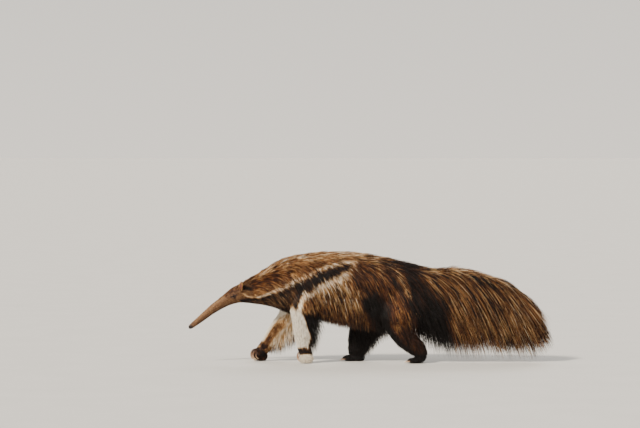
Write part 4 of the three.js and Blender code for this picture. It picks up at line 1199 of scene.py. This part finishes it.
# Tufts as closed blades of three corners: rings about the line, turned a little at random, and a tip.
# The tuft's marks are read at places that follow its line only part of the way, so edges stay toothed.
def addTufts(name, lines, out, width, tone, uvRoot, material):
    count, rings = lines.shape[0], lines.shape[1] - 1
    tangent = np.empty((count, rings, 3))
    tangent[:, 0] = lines[:, 1] - lines[:, 0]
    tangent[:, 1:] = lines[:, 2:] - lines[:, :-2]
    tangent = unit(tangent)
    across = unit(np.cross(out[:, None], tangent))
    up = np.cross(tangent, across)
    turn = (tuft["twist"] * random.normal(size=count))[:, None, None]
    across, up = across * np.cos(turn) + up * np.sin(turn), up * np.cos(turn) - across * np.sin(turn)
    size = width[:, None] * np.array(tuft["profile"][rings])[None]
    corners = [lines[:, :rings] + across * (size * a)[..., None] + up * (size * b)[..., None]
               for a, b in tuft["corners"]]
    ringPoints = np.stack(corners, 2).reshape(count, rings * 3, 3)
    points = np.concatenate([ringPoints, lines[:, rings:]], 1)
    each = rings * 3 + 1
    local = [(0, 2, 1)]
    for r in range(rings - 1):
        for k in range(3):
            a, b = r * 3 + k, r * 3 + (k + 1) % 3
            local += [(a, b, b + 3), (a, b + 3, a + 3)]
    base = (rings - 1) * 3
    local += [(base + k, base + (k + 1) % 3, each - 1) for k in range(3)]
    local = np.array(local)

    followed = lines[:, :1] + (lines - lines[:, :1]) * tuft["follow"]
    reach = tuft["reach"] * random.normal(size=(count, 1, 1))
    followed = followed + (lines[:, -1:] - lines[:, :1]) * reach
    marks = tone(followed.reshape(-1, 3)).reshape(count, rings + 1, 3)
    streak = patchNoise(lines[:, 0], 0.7 * tuft["clump"])
    draw = tuft["streak"] * streak + (1 - tuft["streak"]) * random.random(count)
    toned = np.clip(marks[..., 0] + marks[..., 2] * tuft["contrast"] * (draw[:, None] - 0.5), 0, 1)
    share = np.tile(np.arange(rings + 1) / rings, (count, 1))
    attributes = {"tone": perVertex(toned), "warm": perVertex(marks[..., 1]), "along": perVertex(share)}
    side = np.concatenate([np.tile((0, 1, 0.5), rings), [0.5]])

    most = tuft["piece"] // len(local)
    pieces = -(-count // most)
    for number, chosen in enumerate(np.array_split(np.arange(count), pieces), 1):
        faces = (np.arange(len(chosen)) * each)[:, None, None] + local[None]
        uv = np.empty((len(chosen), each, 2))
        uv[..., 0] = uvRoot[chosen, :1] + tuft["patch"] * side
        uv[..., 1] = uvRoot[chosen, 1:] + tuft["patch"] * perVertex(share)[chosen]
        piece = addPiece(
            f"coat_{name}_{number}", points[chosen].reshape(-1, 3), faces.reshape(-1, 3),
            {key: values[chosen].ravel() for key, values in attributes.items()},
            uv[:, local].reshape(-1, 2))
        finishPiece(piece, material)
    print("stage: coat of", name, count, "tufts,", count * len(local), "triangles")


# A root's place on the UV map: along the limb, and around it
def onUnwrap(limb, t, angle):
    low, span = tuft["unwrap"]
    return np.stack([low + span * t / limb["last"], low + span * (angle + np.pi) / (2 * np.pi)], 1)


def keep(mask, *arrays):
    return [a[mask] for a in arrays]


def clearOfEyes(points, room):
    near = [np.linalg.norm(points - eyeFrame(side)[0], axis=1) for side in sides.values()]
    return np.minimum(*near) > room


coat = {
    "eyeRoom": 13.5 * mm, "tailGap": 4 * mm, "legStart": 0.5, "legEnd": 0.05,
    # how far out of the trunk a leg's hair begins, and the slot of its coat
    "from": {"fore": 0.97, "hind": 0.86}, "slot": {"fore": "pale_coat", "hind": "coat"},
}
# Parts of the trunk: name, start, end, rings, the material and slot, and the legs the hair hangs over
spineParts = [
    ("head", 0.5, 6.2, 2, "face", ()),
    ("neck", 6.2, 9.7, 3, "coat", ()),
    ("torso", 9.7, 16.0, 4, "coat", tuple(legs.values())),
    ("tail", 16.0, 22.0, 4, "coat", ()),
]
for name, start, end, rings, slot, over in spineParts:
    field = coatFields["spine"]
    t, angle = scatter(spine, start, end, field)
    if name == "head":
        t, angle = keep(clearOfEyes(surfaceAt(spine, t, angle, 0.0)[0], coat["eyeRoom"]), t, angle)
    values = fieldAt(field, t, np.sin(angle))
    lines, out = growLines(spine, t, angle, values, rings, over)
    width = values["width"]
    if name == "tail":
        free = np.ones(len(t), bool)
        for leg in (legs["hindleg_left"], legs["hindleg_right"]):
            held = depthIn(leg, lines[:, 1:].reshape(-1, 3), coat["tailGap"])
            free &= ~((held["depth"] < 1) & ~held["beyond"]).reshape(len(t), -1).any(1)
        t, angle, lines, out, width = keep(free, t, angle, lines, out, width)
    addTufts(name, lines, out, width, trunkTone, onUnwrap(spine, t, angle), slot)

for name, limb in legs.items():
    field = coatFields[name]
    t, angle = scatter(limb, coat["legStart"], limb["last"] - coat["legEnd"], field)
    roots = surfaceAt(limb, t, angle, -tuft["root"])[0]
    t, angle = keep(depthIn(spine, roots)["depth"] > coat["from"][kindOf(name)], t, angle)
    values = fieldAt(field, t, np.sin(angle))
    lines, out = growLines(limb, t, angle, values, 3)
    tone = toneOf[name]
    addTufts(name, lines, out, values["width"], lambda p: tone(limb, p), onUnwrap(limb, t, angle),
             "coat")


# Lines of short hair: half and all of the way along the lie, lifted off the skin
def shortLines(roots, outs, lie, length, lifts):
    middle, end = lifts
    return np.stack([roots, roots + lie * length * 0.5 + outs * middle, roots + lie * length + outs * end], 1)


pawHair = {
    "count": 1500, "inset": 2 * mm, "lowest": 7 * mm, "outside": 0.99, "floorGap": 1.5 * mm,
    "width": 1.7 * mm, "length": (8, 4), "lifts": (2.2 * mm, 2.6 * mm), "spread": 0.15,
    "heading": {"fore": (-0.5, 0, -0.9), "hind": (-0.95, 0, -0.3)},
}


# Short hair on the balls of the paws: roots spread evenly over each ball, hairs that lie along it
# towards the claws and down
def pawCoat(name):
    side = legSides[name]
    kind = kindOf(name)
    rootList, outList = [], []
    for x, y, z, long, wide, high in paws[name]:
        direction = unit(random.normal(size=(pawHair["count"], 3)))
        radii = np.array([long, wide, high]) * mm - pawHair["inset"]
        roots = placed(x, side * y, z) + direction * radii
        outside = depthIn(legs[name], roots, -pawHair["inset"])["depth"] > pawHair["outside"]
        good = (roots[:, 2] > pawHair["lowest"]) & outside
        rootList.append(roots[good])
        outList.append(unit(direction / radii)[good])
    roots, outs = np.concatenate(rootList), np.concatenate(outList)
    heading = unit(np.array(pawHair["heading"][kind]))
    lie = heading - outs * (outs @ heading)[:, None]
    lie = unit(lie + pawHair["spread"] * random.normal(size=roots.shape))
    least, more = pawHair["length"]
    length = (least + more * random.random(len(roots)))[:, None] * mm
    lines = shortLines(roots, outs, lie, length, pawHair["lifts"])
    lines[..., 2] = np.maximum(lines[..., 2], pawHair["floorGap"])
    x, y, z = roots.T
    uvRoot = np.stack([0.02 + 0.9 * ((x * 7) % 1), 0.02 + 0.9 * ((y * 7 + z / mm * 0.002) % 1)], 1)
    width = np.full(len(roots), pawHair["width"])
    addTufts(f"paw_{name}", lines, outs, width, lambda p: np.tile(pawTones[name], (len(p), 1)), uvRoot,
             "coat")


for name in legs:
    pawCoat(name)

earHair = {
    "count": 1500, "onRim": 0.4, "onTop": 0.3, "lifts": (0.8 * mm, 1.0 * mm), "length": (3.5, 3),
    "width": 1.1 * mm, "spread": 0.12, "dark": (0.16, 0.5, 0.2), "pale": (0.58, 0.85, 0.25),
    "paleSides": (0.82, 0.95), "paleTop": (0.86, 0.95), "sunk": 0.3, "fan": 0.9, "lie": (0.9, 0.6, 0.12),
    # parts of the ear's height, of its rim and of its top that the roots fill: start and span
    "share": (0.02, 0.95), "rimPart": (0.9, 0.1), "topPart": (0.9, 0.08),
}


# Short hair on the ears: over their backs and along their rims
def earCoat(side, name):
    count = earHair["count"]
    low, span = earHair["share"]
    share = low + span * random.random(count)
    v = 2 * random.random(count) - 1
    onRim = random.random(count) < earHair["onRim"]
    low, span = earHair["rimPart"]
    v = np.where(onRim, np.sign(v) * (low + span * np.abs(v)), v)
    onTop = onRim & (random.random(count) < earHair["onTop"])
    low, span = earHair["topPart"]
    share = np.where(onTop, low + span * random.random(count), share)
    roots = earPlace(side, share, v, np.full(count, -ear["thickness"] * earHair["sunk"]))
    up, face, across = earFrame(side)
    outs = unit(-face + across * (v * earHair["fan"])[:, None])
    upwards, sideways, backwards = earHair["lie"]
    lie = up * upwards + across * (sideways * v)[:, None] - face * backwards
    lie = unit(lie + earHair["spread"] * random.normal(size=(count, 3)))
    least, more = earHair["length"]
    length = (least + more * random.random(count))[:, None] * mm
    lines = shortLines(roots, outs, lie, length, earHair["lifts"])
    pale = np.maximum(ramp(np.abs(v), *earHair["paleSides"]), ramp(share, *earHair["paleTop"]))
    tones = lay(np.tile(earHair["dark"], (count, 1)), pale, earHair["pale"])
    uvRoot = np.stack([0.05 + 0.9 * share, 0.05 + 0.45 * (v + 1)], 1)
    addTufts(f"ear_{name}", lines, outs, np.full(count, earHair["width"]),
             lambda _: np.repeat(tones, 3, axis=0), uvRoot, "face")


for name, side in sides.items():
    earCoat(side, name)

# Floor, light and camera

studio = {
    "size": 800.0, "floor": ("#cbc6bd", "#d5d0c8"), "floorNoise": (3.0, 4.0), "floorRoughness": 0.8,
    "suns": [  # where the light comes from, its strength, softness in degrees and colour
        ((-4.5, -5.5, 5.5), 5.3, 9, (1.0, 0.93, 0.82)),
        ((5.0, -5.0, 3.0), 0.5, 60, (0.93, 0.96, 1.0)),
        ((1.0, 6.0, 4.0), 1.2, 30, (1.0, 0.97, 0.92)),
    ],
    # the sky: as bright as the lit floor at the horizon, so no edge shows, and softer above
    "horizon": (1.0, 0.925, 0.82, 1.0), "sky": (0.51, 0.515, 0.52, 1.0), "skyStrength": 1.24, "haze": 0.3,
}


def makeFloor():
    half = studio["size"] / 2
    corners = np.array([(-half, -half, 0), (half, -half, 0), (half, half, 0), (-half, half, 0)])
    floor = addPiece("floor", corners, np.array([[0, 1, 2, 3]]), smooth=False)
    material, tree, shader = newMaterial("floorPaint", {"Roughness": studio["floorRoughness"]})
    noise = addNoise(tree, (-500, 0), *studio["floorNoise"])
    dark, light = studio["floor"]
    colour = addMix(tree, (-250, 0), {6: fromHex(dark), 7: fromHex(light)})
    connect(tree, (noise, "Fac", colour, "Factor"), (colour, 2, shader, "Base Color"))
    floor.data.materials.append(material)


def makeSuns():
    for number, (place, strength, softness, colour) in enumerate(studio["suns"], 1):
        data = bpy.data.lights.new(f"softLight_{number}", "SUN")
        data.energy = strength
        data.angle = math.radians(softness)
        data.color = colour
        lamp = bpy.data.objects.new(data.name, data)
        lamp.rotation_euler = Vector([-value for value in place]).to_track_quat("-Z", "Y").to_euler()
        bpy.context.scene.collection.objects.link(lamp)


# The sky's colour by the height of the direction looked in
def makeSky():
    world = bpy.data.worlds.new("studio")
    world.use_nodes = True
    tree = world.node_tree
    background = tree.nodes["Background"]
    setInputs(background, {"Strength": studio["skyStrength"]})
    coords = addNode(tree, "TexCoord", (-900, 0))
    height = addNode(tree, "SeparateXYZ", (-700, 0))
    haze = addNode(tree, "MapRange", (-500, 0), {"From Max": studio["haze"]})
    colour = addMix(tree, (-250, 0), {6: studio["horizon"], 7: studio["sky"]})
    connect(
        tree, (coords, "Generated", height, "Vector"), (height, "Z", haze, "Value"),
        (haze, "Result", colour, "Factor"), (colour, 2, background, "Color"))
    bpy.context.scene.world = world


view = {
    "x": -271 * mm, "distance": 16.0, "height": 1.168, "down": math.radians(1.26), "lens": 163.6,
    "sensor": 36, "farthest": 1000,
}


def makeCamera():
    data = bpy.data.cameras.new("view")
    data.sensor_width = view["sensor"]
    data.lens = view["lens"]
    data.clip_end = view["farthest"]
    camera = bpy.data.objects.new("view", data)
    camera.location = (view["x"] + shift[0], -view["distance"], view["height"])
    camera.rotation_euler = (math.pi / 2 - view["down"], 0, 0)
    bpy.context.scene.collection.objects.link(camera)
    bpy.context.scene.camera = camera


makeFloor()
makeSuns()
makeSky()
makeCamera()
print("stage: studio")
